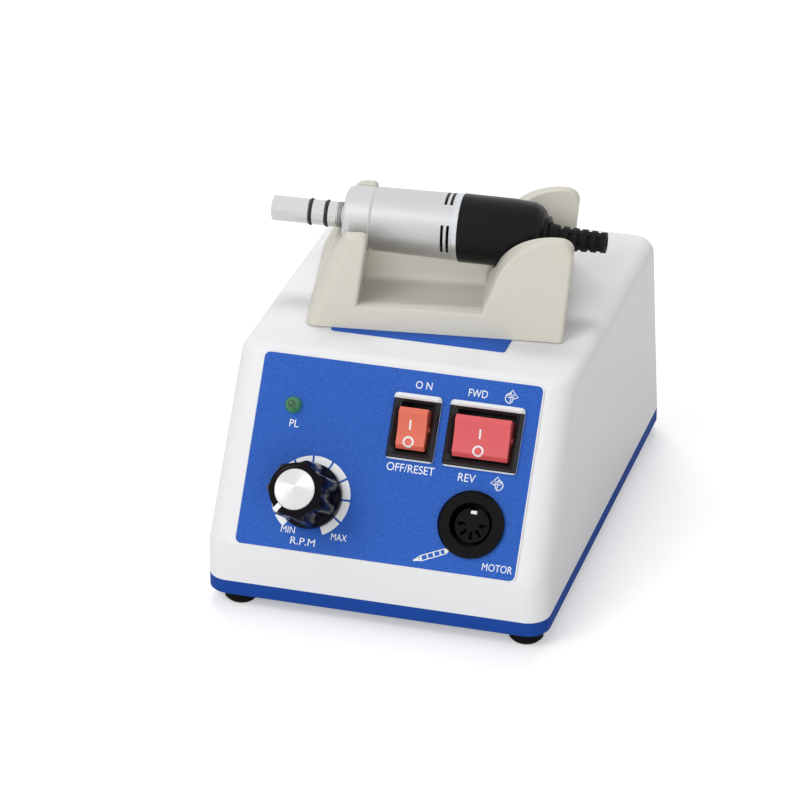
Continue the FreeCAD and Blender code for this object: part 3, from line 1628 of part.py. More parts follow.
def build():
    housing_shell()
    rear_panel()
    base_tray()
    feet()
    foot_screws()
    front_overlay()
    roof_label()
    cradle()
    cradle_screws()
    switch_body("power_switch_body", "power_place", "power_bezel")
    switch_body("direction_switch_body", "direction_place", "direction_bezel")
    switch_terminals("power_switch_terminals", "power_place", [(-3, 4), (-3, -4)])
    direction_spots = [(across, up) for across in (-6, 6) for up in (6, 0, -6)]
    switch_terminals("direction_switch_terminals", "direction_place", direction_spots)
    rocker("power_rocker", "power_place", "power_bezel")
    rocker("direction_rocker", "direction_place", "direction_bezel")
    pilot_lamp()
    speed_control()
    motor_socket()
    mains_inlet()
    fuse_drawer()
    foot_control_jack()
    transformer()
    electronics()
    nose()
    handpiece_shell()
    cable_boot()
    motor_stator()
    motor_rotor()


def check_all():
    """Refuse to export anything while one feature or sub-part is broken."""
    doc.recompute()
    for item in doc.Objects:
        if "Invalid" in item.State or "Error" in item.State:
            raise ValueError("%s is %s" % (item.Label, item.State))
    for item in PIECES:
        if item.Shape.isNull() or not item.Shape.isValid():
            raise ValueError("bad shape in " + item.Label)


def export():
    os.makedirs("parts", exist_ok=True)
    for item in PIECES:
        item.Shape.exportStep("parts/%s.step" % item.Label)


build()
check_all()
export()
print("%d sub-parts written" % len(PIECES))
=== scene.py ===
import json
import math

import bmesh
import bpy
from mathutils import Matrix, Vector
from mathutils.bvhtree import BVHTree


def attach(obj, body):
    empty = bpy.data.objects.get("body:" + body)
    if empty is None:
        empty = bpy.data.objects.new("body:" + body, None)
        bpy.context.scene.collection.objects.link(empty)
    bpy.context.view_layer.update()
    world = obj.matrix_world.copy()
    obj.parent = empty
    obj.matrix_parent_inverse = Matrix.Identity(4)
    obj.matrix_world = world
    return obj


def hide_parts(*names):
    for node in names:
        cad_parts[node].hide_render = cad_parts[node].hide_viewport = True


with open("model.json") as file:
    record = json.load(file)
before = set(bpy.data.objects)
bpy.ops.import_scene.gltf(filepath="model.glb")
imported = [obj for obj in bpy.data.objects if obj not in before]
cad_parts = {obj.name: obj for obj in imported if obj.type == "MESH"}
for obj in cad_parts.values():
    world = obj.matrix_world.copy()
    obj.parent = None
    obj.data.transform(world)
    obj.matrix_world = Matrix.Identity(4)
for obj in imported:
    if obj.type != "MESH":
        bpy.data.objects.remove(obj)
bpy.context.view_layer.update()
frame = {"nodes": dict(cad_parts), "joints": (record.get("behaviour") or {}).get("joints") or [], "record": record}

MM = 0.001
MICRON = 0.000001
JOINTS = {joint["name"]: joint for joint in frame["joints"]}

# Places on the panel in millimetres: across from its middle, up from its foot, out from its face

SHEET_FACE = 0.5
SHEET_ACROSS = 0.3
PRINT_WIDTH = 90.6
PRINT_FOOT = 0.65
PRINT_TOP = 61.8
PRINT_CORNER = 1.9
PRINT_RISE = 0.04
KNOB_ACROSS = -22.9
KNOB_UP = 18.2
KNOB_HEIGHT = 19.6
POWER_ACROSS = 6.7
DIRECTION_ACROSS = 29.2
ROCKER_ROW = 43.8
LAMP_ACROSS = -33.1
LAMP_UP = 46.0
SOCKET_ACROSS = 29.5
SOCKET_UP = 16.3


def joint_point(name):
    return Vector(JOINTS[name]["pos_m"])


def joint_axis(name):
    return Vector(JOINTS[name]["axis"]).normalized()


def frame_at(origin, across, up, out):
    """Matrix whose columns are three directions, standing at a point."""
    turn = Matrix((across, up, out)).transposed().to_4x4()
    return Matrix.Translation(origin) @ turn


KNOB_CENTRE = joint_point("speed_knob_turn")
PANEL_OUT = -joint_axis("speed_knob_turn")
PANEL_ACROSS = Vector((1, 0, 0))
PANEL_UP = PANEL_OUT.cross(PANEL_ACROSS)
PANEL_FOOT = KNOB_CENTRE - PANEL_ACROSS * KNOB_ACROSS * MM - PANEL_UP * KNOB_UP * MM
PANEL = frame_at(PANEL_FOOT, PANEL_ACROSS, PANEL_UP, PANEL_OUT)

HAND_ALONG = joint_axis("rotor_spin")
HAND_BACK = Vector((0, 0, 1)).cross(HAND_ALONG).normalized()
HAND_UP = HAND_ALONG.cross(HAND_BACK)
HANDPIECE = frame_at(joint_point("rotor_spin"), HAND_ALONG, HAND_BACK, HAND_UP)

SCALE_TO_METRES = Matrix.Scale(MM, 4)


def on_panel(across, up, out=SHEET_FACE):
    """Matrix from local millimetres to a place on the panel."""
    return PANEL @ Matrix.Translation(Vector((across, up, out)) * MM) @ SCALE_TO_METRES


def turned(degrees, axis):
    return Matrix.Rotation(math.radians(degrees), 4, axis)


# Shader graphs

MATERIALS = {}
NOISE_SPAN = (0.3, 0.7)
EDGE_BLUR = 0.04 * MM


def new_material(name):
    """Node material, kept under its name."""
    material = bpy.data.materials.new(name)
    material.use_nodes = True
    MATERIALS[name] = material
    return material


def shader_of(material):
    return material.node_tree.nodes["Principled BSDF"]


def set_inputs(node, values):
    """Put constants on a node's own sockets."""
    for label, value in values.items():
        node.inputs[label].default_value = value


def add_node(tree, kind, **attributes):
    made = tree.nodes.new(kind)
    for key, value in attributes.items():
        setattr(made, key, value)
    return made


def fed_node(tree, kind, operation, sources):
    """Math node whose inputs are, in order, sockets or constants."""
    made = add_node(tree, kind, operation=operation)
    for socket, source in zip(made.inputs, sources):
        if isinstance(source, bpy.types.NodeSocket):
            tree.links.new(source, socket)
        else:
            socket.default_value = source
    return made


def maths(tree, operation, *sources):
    return fed_node(tree, "ShaderNodeMath", operation, sources).outputs[0]


def vector_maths(tree, operation, *sources):
    made = fed_node(tree, "ShaderNodeVectorMath", operation, sources)
    return made.outputs["Value" if operation in ("DOT_PRODUCT", "LENGTH") else "Vector"]


def map_range(tree, value, source, target=(0.0, 1.0)):
    """Number carried from one range to another and held inside it."""
    reach = add_node(tree, "ShaderNodeMapRange")
    set_inputs(reach, {"From Min": source[0], "From Max": source[1]})
    set_inputs(reach, {"To Min": target[0], "To Max": target[1]})
    tree.links.new(value, reach.inputs["Value"])
    return reach.outputs["Result"]


def surface_point(tree):
    return add_node(tree, "ShaderNodeTexCoord").outputs["Object"]


def along_handpiece(tree):
    """Distance of a surface point along the handpiece's axis, in metres."""
    return vector_maths(tree, "DOT_PRODUCT", surface_point(tree), HAND_ALONG)


def distance_from_line(tree, point, direction):
    """Distance of a surface point from a line, in metres."""
    away = vector_maths(tree, "SUBTRACT", surface_point(tree), point)
    square = vector_maths(tree, "CROSS_PRODUCT", away, direction)
    return vector_maths(tree, "LENGTH", square)


def out_from_knob_axis(tree):
    return distance_from_line(tree, KNOB_CENTRE, PANEL_OUT)


def new_group(name, inputs, outputs):
    """Empty shader group with float inputs and outputs and both of its end nodes."""
    group = bpy.data.node_groups.new(name, "ShaderNodeTree")
    for label, value in inputs.items():
        socket = group.interface.new_socket(label, in_out="INPUT", socket_type="NodeSocketFloat")
        socket.default_value = value
    for label in outputs:
        group.interface.new_socket(label, in_out="OUTPUT", socket_type="NodeSocketFloat")
    ends = group.nodes.new("NodeGroupInput"), group.nodes.new("NodeGroupOutput")
    return group, *ends


def moulded_grain_group():
    """Fine spark-eroded grain and a slow mottle, both from the object's own coordinates."""
    sizes = {"Grain": 2600.0, "Mottle": 60.0}
    group, start, end = new_group("moulded grain", sizes, ("Height", "Tone"))
    place = surface_point(group)
    for label, source, detail in (("Height", "Grain", 2.0), ("Tone", "Mottle", 3.0)):
        noise = add_node(group, "ShaderNodeTexNoise")
        set_inputs(noise, {"Detail": detail, "Roughness": 0.55})
        group.links.new(place, noise.inputs["Vector"])
        group.links.new(start.outputs[source], noise.inputs["Scale"])
        group.links.new(noise.outputs["Fac"], end.inputs[label])
    return group


def turned_lines_group():
    """Tool marks: a height that changes only with one distance, given in metres."""
    sizes = {"Distance": 0.0, "Density": 4000.0}
    group, start, end = new_group("turned lines", sizes, ("Height", "Tone"))
    scaled = maths(group, "MULTIPLY", start.outputs["Distance"], start.outputs["Density"])
    for label, scale, detail in (("Height", 1.0, 4.0), ("Tone", 0.08, 2.0)):
        noise = add_node(group, "ShaderNodeTexNoise", noise_dimensions="1D")
        set_inputs(noise, {"Scale": scale, "Detail": detail})
        group.links.new(scaled, noise.inputs["W"])
        group.links.new(noise.outputs["Fac"], end.inputs[label])
    return group


def speckle_group():
    """Printed speckle: light flecks with a small pitted height of the same size."""
    group, start, end = new_group("printed speckle", {"Size": 1500.0}, ("Fleck", "Height"))
    place = surface_point(group)
    soft = add_node(group, "ShaderNodeTexNoise")
    set_inputs(soft, {"Detail": 3.0, "Roughness": 0.7})
    cells = add_node(group, "ShaderNodeTexVoronoi")
    for noise in (soft, cells):
        group.links.new(place, noise.inputs["Vector"])
        group.links.new(start.outputs["Size"], noise.inputs["Scale"])
    fleck = map_range(group, soft.outputs["Fac"], NOISE_SPAN)
    group.links.new(fleck, end.inputs["Fleck"])
    group.links.new(cells.outputs["Distance"], end.inputs["Height"])
    return group


GRAIN = moulded_grain_group()
LINES = turned_lines_group()
SPECKLE = speckle_group()


def place_group(material, group, values):
    made = add_node(material.node_tree, "ShaderNodeGroup", node_tree=group)
    set_inputs(made, values)
    return made


def add_bump(material, height, depth):
    """Bump of a depth in microns from a height that runs from 0 to 1."""
    tree = material.node_tree
    bump = add_node(tree, "ShaderNodeBump")
    set_inputs(bump, {"Strength": 1.0, "Distance": depth * MICRON})
    tree.links.new(height, bump.inputs["Height"])
    tree.links.new(bump.outputs["Normal"], shader_of(material).inputs["Normal"])


def colour_sockets(sockets):
    return [socket for socket in sockets if socket.type == "RGBA"]


def blend_colour(material, mask, dark, light):
    """Base colour between two colours along a mask."""
    tree = material.node_tree
    mix = add_node(tree, "ShaderNodeMix", data_type="RGBA")
    from_colour, to_colour = colour_sockets(mix.inputs)
    from_colour.default_value = (*dark, 1)
    to_colour.default_value = (*light, 1)
    tree.links.new(mask, mix.inputs["Factor"])
    tree.links.new(colour_sockets(mix.outputs)[0], shader_of(material).inputs["Base Color"])
    return mix


def shade(colour, factor):
    return tuple(min(1.0, part * factor) for part in colour)


def vary_surface(material, mask, colour, roughness, tone):
    """Base colour and roughness that both change a little along a mask."""
    tree = material.node_tree
    blend_colour(material, mask, shade(colour, 1 - tone), shade(colour, 1 + tone))
    uneven = map_range(tree, mask, NOISE_SPAN, (roughness - tone, roughness + tone))
    tree.links.new(uneven, shader_of(material).inputs["Roughness"])


def moulded_plastic(name, colour, roughness, grain=2600, depth=6, gloss=0.5, tone=0.03):
    """Plastic or rubber with a fine grain, a slow change of tone and an uneven gloss."""
    material = new_material(name)
    set_inputs(shader_of(material), {"Specular IOR Level": gloss})
    surface = place_group(material, GRAIN, {"Grain": grain})
    vary_surface(material, surface.outputs["Tone"], colour, roughness, tone)
    add_bump(material, surface.outputs["Height"], depth)


def turned_metal(
    name, colour, roughness, distance=along_handpiece, density=5000, depth=2, tone=0.04
):
    """Metal with tool marks that follow one another along a distance."""
    material = new_material(name)
    tree = material.node_tree
    set_inputs(shader_of(material), {"Metallic": 1.0})
    lines = place_group(material, LINES, {"Density": density})
    tree.links.new(distance(tree), lines.inputs["Distance"])
    vary_surface(material, lines.outputs["Tone"], colour, roughness, tone)
    add_bump(material, lines.outputs["Height"], depth)
    return material


def spun_cap_metal(name, colour, roughness):
    """Disc turned on its own axis, whose light gathers into wedges."""
    marks = {"distance": out_from_knob_axis, "density": 9000, "depth": 0.6, "tone": 0.01}
    material = turned_metal(name, colour, roughness, **marks)
    set_inputs(shader_of(material), {"Anisotropic": 0.8})


def rounded_window(tree, centre, half_size, corner):
    """Mask that is 0 inside a rounded rectangle on the panel and 1 outside it, in metres."""
    away = vector_maths(tree, "SUBTRACT", surface_point(tree), centre)
    corners = add_node(tree, "ShaderNodeCombineXYZ")
    for i, direction in enumerate((PANEL_ACROSS, PANEL_UP)):
        side = maths(tree, "ABSOLUTE", vector_maths(tree, "DOT_PRODUCT", away, direction))
        past = maths(tree, "SUBTRACT", side, half_size[i] - corner)
        tree.links.new(maths(tree, "MAXIMUM", past, 0.0), corners.inputs[i])
    length = vector_maths(tree, "LENGTH", corners.outputs[0])
    return map_range(tree, length, (corner - EDGE_BLUR, corner + EDGE_BLUR))


def printed_sheet(name, dark, light):
    """Speckled printed film with a faint orange-peel face."""
    material = new_material(name)
    set_inputs(shader_of(material), {"Roughness": 0.5, "Specular IOR Level": 0.15})
    print_layer = place_group(material, SPECKLE, {"Size": 1700.0})
    blend_colour(material, print_layer.outputs["Fleck"], dark, light)
    add_bump(material, print_layer.outputs["Height"], 30)
    return material


def sheet_with_glint_rim(name, dark, light, edge_glint):
    """Printed film whose print colour gives way, just short of its edges, to a pale rim that is a painted
    highlight of the sheet's edge.
    """
    material = printed_sheet(name, dark, light)
    tree = material.node_tree
    half_size = (PRINT_WIDTH * MM / 2, (PRINT_TOP - PRINT_FOOT) * MM / 2)
    centre = on_panel(SHEET_ACROSS, (PRINT_TOP + PRINT_FOOT) / 2).translation
    outside = rounded_window(tree, centre, half_size, PRINT_CORNER * MM)
    print_colour = shader_of(material).inputs["Base Color"].links[0].from_socket
    mix = blend_colour(material, outside, dark, edge_glint)
    tree.links.new(print_colour, colour_sockets(mix.inputs)[0])


def lens_with_painted_rim_light(name, middle, edge):
    """Green lens, darker in the middle and paler towards its rim; the paler rim is a painted highlight of light
    caught in the lens's edge.
    """
    material = new_material(name)
    tree = material.node_tree
    set_inputs(shader_of(material), {"Roughness": 0.08, "Coat Weight": 0.4})
    away = distance_from_line(tree, on_panel(LAMP_ACROSS, LAMP_UP).translation, PANEL_OUT)
    toward_lit_rim = map_range(tree, away, (LENS_MIDDLE_RADIUS * MM, LENS_RADIUS * MM))
    blend_colour(material, toward_lit_rim, middle, edge)


def clear_glass(name):
    material = new_material(name)
    tint = {"Base Color": (0.92, 0.95, 0.95, 1), "Roughness": 0.05, "Transmission Weight": 0.8}
    set_inputs(shader_of(material), tint)
    surface = place_group(material, GRAIN, {"Grain": 400.0})
    add_bump(material, surface.outputs["Height"], 1)


# Finishes of the box and its panel: colour, roughness, then what departs from the usual grain

LENS_RADIUS = 2.6
LENS_MIDDLE_RADIUS = 0.8
WHITE = (0.80, 0.80, 0.815)
PRINT_WHITE = (0.86, 0.88, 0.90)

moulded_plastic("housing_white", WHITE, 0.30, grain=1500, depth=3, tone=0.004)
moulded_plastic("tray_blue", (0.0145, 0.066, 0.325), 0.42, grain=1500, depth=4, gloss=0.02)
moulded_plastic(
    "foot_rubber", (0.004, 0.004, 0.004), 0.6, grain=1200, depth=10, gloss=0.1, tone=0.02
)
moulded_plastic(
    "cradle_ivory", (0.63, 0.61, 0.535), 0.42, grain=1400, depth=8, gloss=0.3, tone=0.02
)
moulded_plastic("switch_black", (0.018, 0.018, 0.02), 0.26, grain=2200, depth=8, gloss=0.3)
moulded_plastic("power_red", (0.73, 0.15, 0.09), 0.24, grain=1500, depth=2)
moulded_plastic("direction_red", (0.70, 0.10, 0.11), 0.24, grain=1500, depth=2)
moulded_plastic("fitting_black", (0.02, 0.02, 0.021), 0.38, grain=1800, depth=8)
moulded_plastic(
    "socket_black", (0.002, 0.002, 0.0025), 0.16, grain=1800, depth=1, gloss=0.13, tone=0.01
)
moulded_plastic(
    "knob_black", (0.004, 0.003, 0.005), 0.14, grain=1500, depth=0.3, gloss=0.08, tone=0.01
)
# Pale colour of the skin on the switch frames' edges, a painted highlight
moulded_plastic("highlight_pale", (0.78, 0.79, 0.80), 0.3, depth=2, tone=0.01)
moulded_plastic("print_white", PRINT_WHITE, 0.45, depth=2, tone=0.01)
# Pale rim round the blue print: a painted highlight along the sheet's edge
sheet_with_glint_rim("sheet_blue", (0.0145, 0.088, 0.41), (0.041, 0.140, 0.56), edge_glint=WHITE)
printed_sheet("label_blue", (0.010, 0.075, 0.38), (0.022, 0.11, 0.48))
# Lens colour: darker middle, and a paler rim painted as light caught in its edge
lens_with_painted_rim_light("lamp_green", middle=(0.008, 0.085, 0.02), edge=(0.05, 0.27, 0.11))
spun_cap_metal("cap_aluminium", (0.74, 0.735, 0.75), 0.26)
turned_metal("screw_steel", (0.62, 0.61, 0.60), 0.3)
turned_metal("plated_steel", (0.60, 0.59, 0.57), 0.28)
turned_metal("contact_brass", (0.75, 0.58, 0.28), 0.28)
# Contacts darkened to near black: painted shade for contacts deep in the socket's slots
turned_metal("contact_painted_shade", (0.07, 0.07, 0.075), 0.4)

# Finishes inside the box

clear_glass("fuse_glass")
moulded_plastic("winding_tape", (0.72, 0.55, 0.10), 0.4, grain=300, depth=20)
moulded_plastic("board_green", (0.03, 0.20, 0.08), 0.35, grain=500, depth=10)
moulded_plastic("capacitor_sleeve", (0.03, 0.035, 0.08), 0.3, grain=600, depth=5)
turned_metal("core_steel", (0.22, 0.22, 0.23), 0.5)
turned_metal("sink_aluminium", (0.72, 0.72, 0.73), 0.4)

# Finishes of the handpiece

turned_metal("nose_steel", (0.70, 0.70, 0.688), 0.10, depth=0.1, tone=0.01)
turned_metal("clip_steel", (0.30, 0.30, 0.31), 0.32, tone=0.02)
turned_metal("collar_silver", (0.69, 0.69, 0.70), 0.45, depth=0.4, tone=0.01)
turned_metal("sleeve_silver", (0.665, 0.665, 0.68), 0.45, depth=0.4, tone=0.01)
turned_metal("trim_aluminium", (0.72, 0.75, 0.78), 0.25, depth=0.2, tone=0.01)
turned_metal("magnet_grey", (0.20, 0.20, 0.21), 0.5)
turned_metal("copper_wire", (0.75, 0.36, 0.20), 0.35)
moulded_plastic("seal_rubber", (0.010, 0.010, 0.010), 0.45, depth=4)
moulded_plastic("rear_black", (0.006, 0.006, 0.007), 0.26, depth=2, gloss=0.14, tone=0.01)
moulded_plastic("boot_rubber", (0.008, 0.0075, 0.0075), 0.5, grain=2000, gloss=0.12)
moulded_plastic("brush_carbon", (0.03, 0.03, 0.03), 0.6, grain=1200, depth=10)

# Making and finishing pieces

MERGE = 0.001


def add_object(name, data):
    """Object for a mesh, curve, lamp or camera, put into the scene."""
    made = bpy.data.objects.new(name, data)
    bpy.context.scene.collection.objects.link(made)
    return made


def finished(piece, material, body):
    """Give a new piece its material and body."""
    piece.data.materials.clear()
    piece.data.materials.append(MATERIALS[material])
    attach(piece, body)


def piece_from(bm, name, place):
    """New object from a bmesh drawn in local millimetres, with its place put into its mesh."""
    bmesh.ops.remove_doubles(bm, verts=bm.verts, dist=MERGE)
    bmesh.ops.recalc_face_normals(bm, faces=bm.faces)
    bm.transform(place)
    mesh = bpy.data.meshes.new(name)
    bm.to_mesh(mesh)
    bm.free()
    return add_object(name, mesh)


def smooth_by_angle(piece, degrees):
    """Smooth shading that keeps edges sharper than an angle."""
    piece.data.shade_smooth()
    piece.data.set_sharp_from_angle(angle=math.radians(degrees))


def spun_profile(bm, outline, steps):
    """Turn a closed outline of (along, radius) points about the x axis."""
    points = [bm.verts.new((along, 0, radius)) for along, radius in outline]
    edges = [bm.edges.new(pair) for pair in zip(points, points[1:] + points[:1])]
    bmesh.ops.spin(
        bm,
        geom=points + edges,
        cent=(0, 0, 0),
        axis=(1, 0, 0),
        angle=math.tau,
        steps=steps,
        use_merge=True,
        use_duplicate=False,
    )


def block(bm, size, place=(0, 0, 0)):
    """Box of a size round a place, and its corners."""
    corners = bmesh.ops.create_cube(bm, size=1)["verts"]
    bmesh.ops.scale(bm, verts=corners, vec=size)
    bmesh.ops.translate(bm, verts=corners, vec=place)
    return corners


def soften(bm, offset):
    """Round every edge a little."""
    bmesh.ops.bevel(
        bm, geom=bm.edges[:], offset=offset, segments=2, affect="EDGES", profile=0.5, material=-1
    )


# Printed words and marks on the sheet

FLAT_PRINT = Matrix.Diagonal((1, 1, 0.15, 1))

# Text, piece, middle across, baseline up, width and letter height, in millimetres
WORDS = (
    ("O N", "word_on", 7.7, 56.2, 5.3, 2.4),
    ("OFF/RESET", "word_off_reset", 7.5, 29.7, 15.4, 2.55),
    ("FWD", "word_forward", 25.25, 55.9, 6.1, 2.4),
    ("REV", "word_reverse", 25.75, 29.3, 5.5, 2.5),
    ("MOTOR", "word_motor", 39.7, 2.8, 9.6, 2.3),
    ("PL", "word_pilot_lamp", -32.0, 39.1, 3.0, 2.3),
    ("MIN", "word_min", -28.5, 5.9, 4.5, 2.1),
    ("R.P.M", "word_speed", -23.2, 2.65, 8.0, 2.25),
    ("MAX", "word_max", -11.8, 5.6, 5.1, 2.1),
)


def drawn_mesh(curve):
    """Mesh of what a text or a curve draws."""
    drawer = add_object(curve.name, curve)
    mesh = bpy.data.meshes.new_from_object(drawer)
    bpy.data.objects.remove(drawer)
    return mesh


def lettering(text, name):
    """Mesh of a word in the built-in typeface, with a little thickness."""
    curve = bpy.data.curves.new(name, "FONT")
    curve.body = text
    curve.align_x = "CENTER"
    curve.extrude = 0.01
    return drawn_mesh(curve)


def printed_word(text, name, middle, base, width, height):
    """Word printed on the sheet, drawn to a width and a letter height."""
    mesh = lettering(text, name)
    lows = Vector(map(min, zip(*(v.co for v in mesh.vertices))))
    highs = Vector(map(max, zip(*(v.co for v in mesh.vertices))))
    size = highs - lows
    to_origin = Matrix.Translation(-Vector(((lows.x + highs.x) / 2, lows.y, lows.z)))
    stretch = Matrix.Diagonal((width / size.x, height / size.y, PRINT_RISE / size.z, 1))
    mesh.transform(on_panel(middle, base) @ stretch @ to_origin)
    mesh.name = name
    finished(add_object(name, mesh), "print_white", "console")


def panel_words():
    for word in WORDS:
        printed_word(*word)


SCALE_INNER = 9.9
SCALE_OUTER = 12.8
SCALE_START = 236.0
SCALE_TICKS = (213.0, 184.0, 154.0, 123.5, 95.0, 64.5, 33.0, 1.0, -33.0)
SCALE_END = -65.5
TICK_WIDTH = 3.4
BAND_STEP = 4.0


def spun_band(bm, inner, outer, start, sweep):
    """Flat ring segment between two radii, from a start angle through a sweep, in degrees."""
    turn = turned(start, "Z")
    ends = [bm.verts.new(turn @ Vector((radius, 0, 0))) for radius in (inner, outer)]
    edge = bm.edges.new(ends)
    bmesh.ops.spin(
        bm,
        geom=ends + [edge],
        cent=(0, 0, 0),
        axis=(0, 0, 1),
        angle=math.radians(sweep),
        steps=max(2, round(abs(sweep) / BAND_STEP)),
        use_merge=False,
        use_duplicate=False,
    )


def raised(bm, height):
    """Give flat faces a thickness upwards."""
    grown = bmesh.ops.extrude_face_region(bm, geom=bm.faces[:])
    moved = [part for part in grown["geom"] if isinstance(part, bmesh.types.BMVert)]
    bmesh.ops.translate(bm, verts=moved, vec=(0, 0, height))


def speed_scale():
    """White ring round the knob, parted by narrow ticks."""
    bm = bmesh.new()
    edges = [SCALE_START, *SCALE_TICKS, SCALE_END]
    for high, low in zip(edges, edges[1:]):
        spun_band(bm, SCALE_INNER, SCALE_OUTER, high - TICK_WIDTH / 2, low - high + TICK_WIDTH)
    raised(bm, PRINT_RISE)
    piece = piece_from(bm, "speed_scale", on_panel(KNOB_ACROSS, KNOB_UP))
    finished(piece, "print_white", "console")


def stroke(points, thickness, closed=False):
    """Flattened mesh of a line of even thickness through points, in millimetres."""
    curve = bpy.data.curves.new("stroke", "CURVE")
    curve.dimensions = "3D"
    curve.bevel_depth = thickness / 2
    curve.bevel_resolution = 2
    curve.use_fill_caps = not closed
    line = curve.splines.new("POLY")
    line.points.add(len(points) - 1)
    for spot, (x, y) in zip(line.points, points):
        spot.co = (x, y, 0, 1)
    line.use_cyclic_u = closed
    mesh = drawn_mesh(curve)
    mesh.transform(FLAT_PRINT)
    return mesh


def drawing(strokes):
    """New bmesh of several strokes."""
    bm = bmesh.new()
    for line in strokes:
        bm.from_mesh(stroke(*line))
    return bm


def arc(centre, radius, start, sweep, steps=16):
    """Points along an arc, angles in degrees."""
    turns = [math.radians(start + sweep * i / steps) for i in range(steps + 1)]
    return [(centre[0] + radius * math.cos(t), centre[1] + radius * math.sin(t)) for t in turns]


BUR_LINE = 0.32
BUR_STROKES = (
    arc((-0.3, -0.25), 1.6, 80, 205),
    [(-0.85, 1.1), (0.1, 2.35), (0.95, 1.3)],
    [(-1.5, 0.45), (-0.4, 0.9), (0.9, 0.65)],
    [(0.8, 1.3), (2.1, 0.25), (0.75, -0.4)],
    [(-1.2, -0.1), (0.0, 0.2), (0.9, 0.05)],
    [(-0.2, 0.1), (-0.15, -1.75)],
    [(0.55, 0.05), (0.3, -1.6)],
)


def bur_drawing(name, across, up, hand):
    """Small upright bur with a ring arrow round it, turning to one hand."""
    bm = drawing(([(x * hand, y) for x, y in points], BUR_LINE) for points in BUR_STROKES)
    piece = piece_from(bm, name, on_panel(across, up))
    finished(piece, "print_white", "console")


def handpiece_drawing():
    """Slim outline of the handpiece with five bars across it."""
    length, half, nose, tail = 12.2, 0.8, 2.6, 1.5
    back = length - tail
    top = [(0, 0), (nose, half), (back, half), (length, 0)]
    bottom = [(x, -y) for x, y in reversed(top[1:3])]
    strokes = [
        (top + bottom, 0.3, True),
        ([(0.2, 0), (nose, 0)], 0.7),
        ([(back, 0), (length - 0.4, 0)], 0.8),
    ]
    for along in (2.7, 4.8, 6.9, 9.0, 10.6):
        strokes.append(([(along, -half), (along, half)], 0.5))
    slope = Matrix.Rotation(math.atan2(4.9, 11.3), 4, "Z")
    piece = piece_from(drawing(strokes), "mark_handpiece", on_panel(12.8, 2.8) @ slope)
    finished(piece, "print_white", "console")


# Marks on the rockers, in millimetres from the middle of a rocker's face

ROCKER_LINE = 0.6
ROCKER_MARK_ACROSS = -0.6
BAR_FOOT = -1.0
BAR_LENGTH = 3.0
BAR_STEPS = 8
RING_UP = -4.8
RING_RADIUS = 1.5
RAY_HEIGHT = 12


def rocker_marks(label, across):
    """Line and ring printed on a rocker's face, wrapped onto it."""
    face = frame["nodes"][label].data
    tree = BVHTree.FromPolygons(
        [v.co.copy() for v in face.vertices], [tuple(p.vertices) for p in face.polygons]
    )
    rises = [BAR_FOOT + BAR_LENGTH * i / BAR_STEPS for i in range(BAR_STEPS + 1)]
    bar = [(ROCKER_MARK_ACROSS, rise) for rise in rises]
    ring = arc((ROCKER_MARK_ACROSS, RING_UP), RING_RADIUS, 0, 345, 24)
    bm = drawing([(bar, ROCKER_LINE), (ring, ROCKER_LINE, True)])
    place = on_panel(across, ROCKER_ROW, 0)
    for vertex in bm.verts:
        high = place @ Vector((vertex.co.x, vertex.co.y, RAY_HEIGHT))
        hit = tree.ray_cast(high, -PANEL_OUT)[0]
        vertex.co = hit + PANEL_OUT * vertex.co.z * MM
    mesh = bpy.data.meshes.new(label + "_marks")
    bm.to_mesh(mesh)
    bm.free()
    finished(add_object(label + "_marks", mesh), "print_white", label)


# Pale skin on the switch frames, a painted highlight of their glossy edges, in millimetres

HIGHLIGHT_TOP_BAND = 1.75
HIGHLIGHT_BOTTOM_BAND = 0.35
HIGHLIGHT_FOOT_HEIGHT = 0.45
HIGHLIGHT_SIDE_BAND = 0.6
HIGHLIGHT_LIFT = 0.05
HIGHLIGHT_THICKNESS = 0.04
INWARD_FACE = -0.2


def cut_across(bm, place, normal):
    """New edges where a plane on the panel crosses a mesh."""
    parts = bm.verts[:] + bm.edges[:] + bm.faces[:]
    bmesh.ops.bisect_plane(bm, geom=parts, plane_co=place, plane_no=normal, dist=0.1 * MICRON)


def frame_highlight(name, node, across, width, height):
    """Thin pale skin on a switch frame's foot, top edge and bottom edge: a painted highlight of the frame's glossy
    edges.
    """
    top = ROCKER_ROW + height / 2 - HIGHLIGHT_TOP_BAND
    bottom = ROCKER_ROW - height / 2 + HIGHLIGHT_BOTTOM_BAND
    foot = SHEET_FACE + HIGHLIGHT_FOOT_HEIGHT
    bm = bmesh.new()
    bm.from_mesh(frame["nodes"][node].data)
    bmesh.ops.remove_doubles(bm, verts=bm.verts, dist=MICRON)
    for up in (top, bottom):
        cut_across(bm, on_panel(across, up).translation, PANEL_UP)
    for out in (foot, SHEET_FACE):
        cut_across(bm, on_panel(across, ROCKER_ROW, out).translation, PANEL_OUT)
    to_frame = on_panel(across, ROCKER_ROW, 0).inverted()
    bare = []
    for face in bm.faces:
        side, up, out = to_frame @ face.calc_center_median()
        past_side = abs(side) > width / 2 - HIGHLIGHT_SIDE_BAND
        outside = past_side or abs(up) > height / 2 - HIGHLIGHT_SIDE_BAND
        inward = out < SHEET_FACE or face.normal.dot(PANEL_OUT) < INWARD_FACE
        banded = up > top - ROCKER_ROW or up < bottom - ROCKER_ROW
        if inward or not (banded or (out < foot and outside)):
            bare.append(face)
    bmesh.ops.delete(bm, geom=bare, context="FACES")
    bm.normal_update()
    for vertex in bm.verts:
        vertex.co += vertex.normal * HIGHLIGHT_LIFT * MM
    bmesh.ops.solidify(bm, geom=bm.faces[:], thickness=HIGHLIGHT_THICKNESS * MM)
    bm.transform(SCALE_TO_METRES.inverted())
    piece = piece_from(bm, name, SCALE_TO_METRES)
    finished(piece, "highlight_pale", "console")


# Knob: heights from the sheet and radii in millimetres, angles in degrees

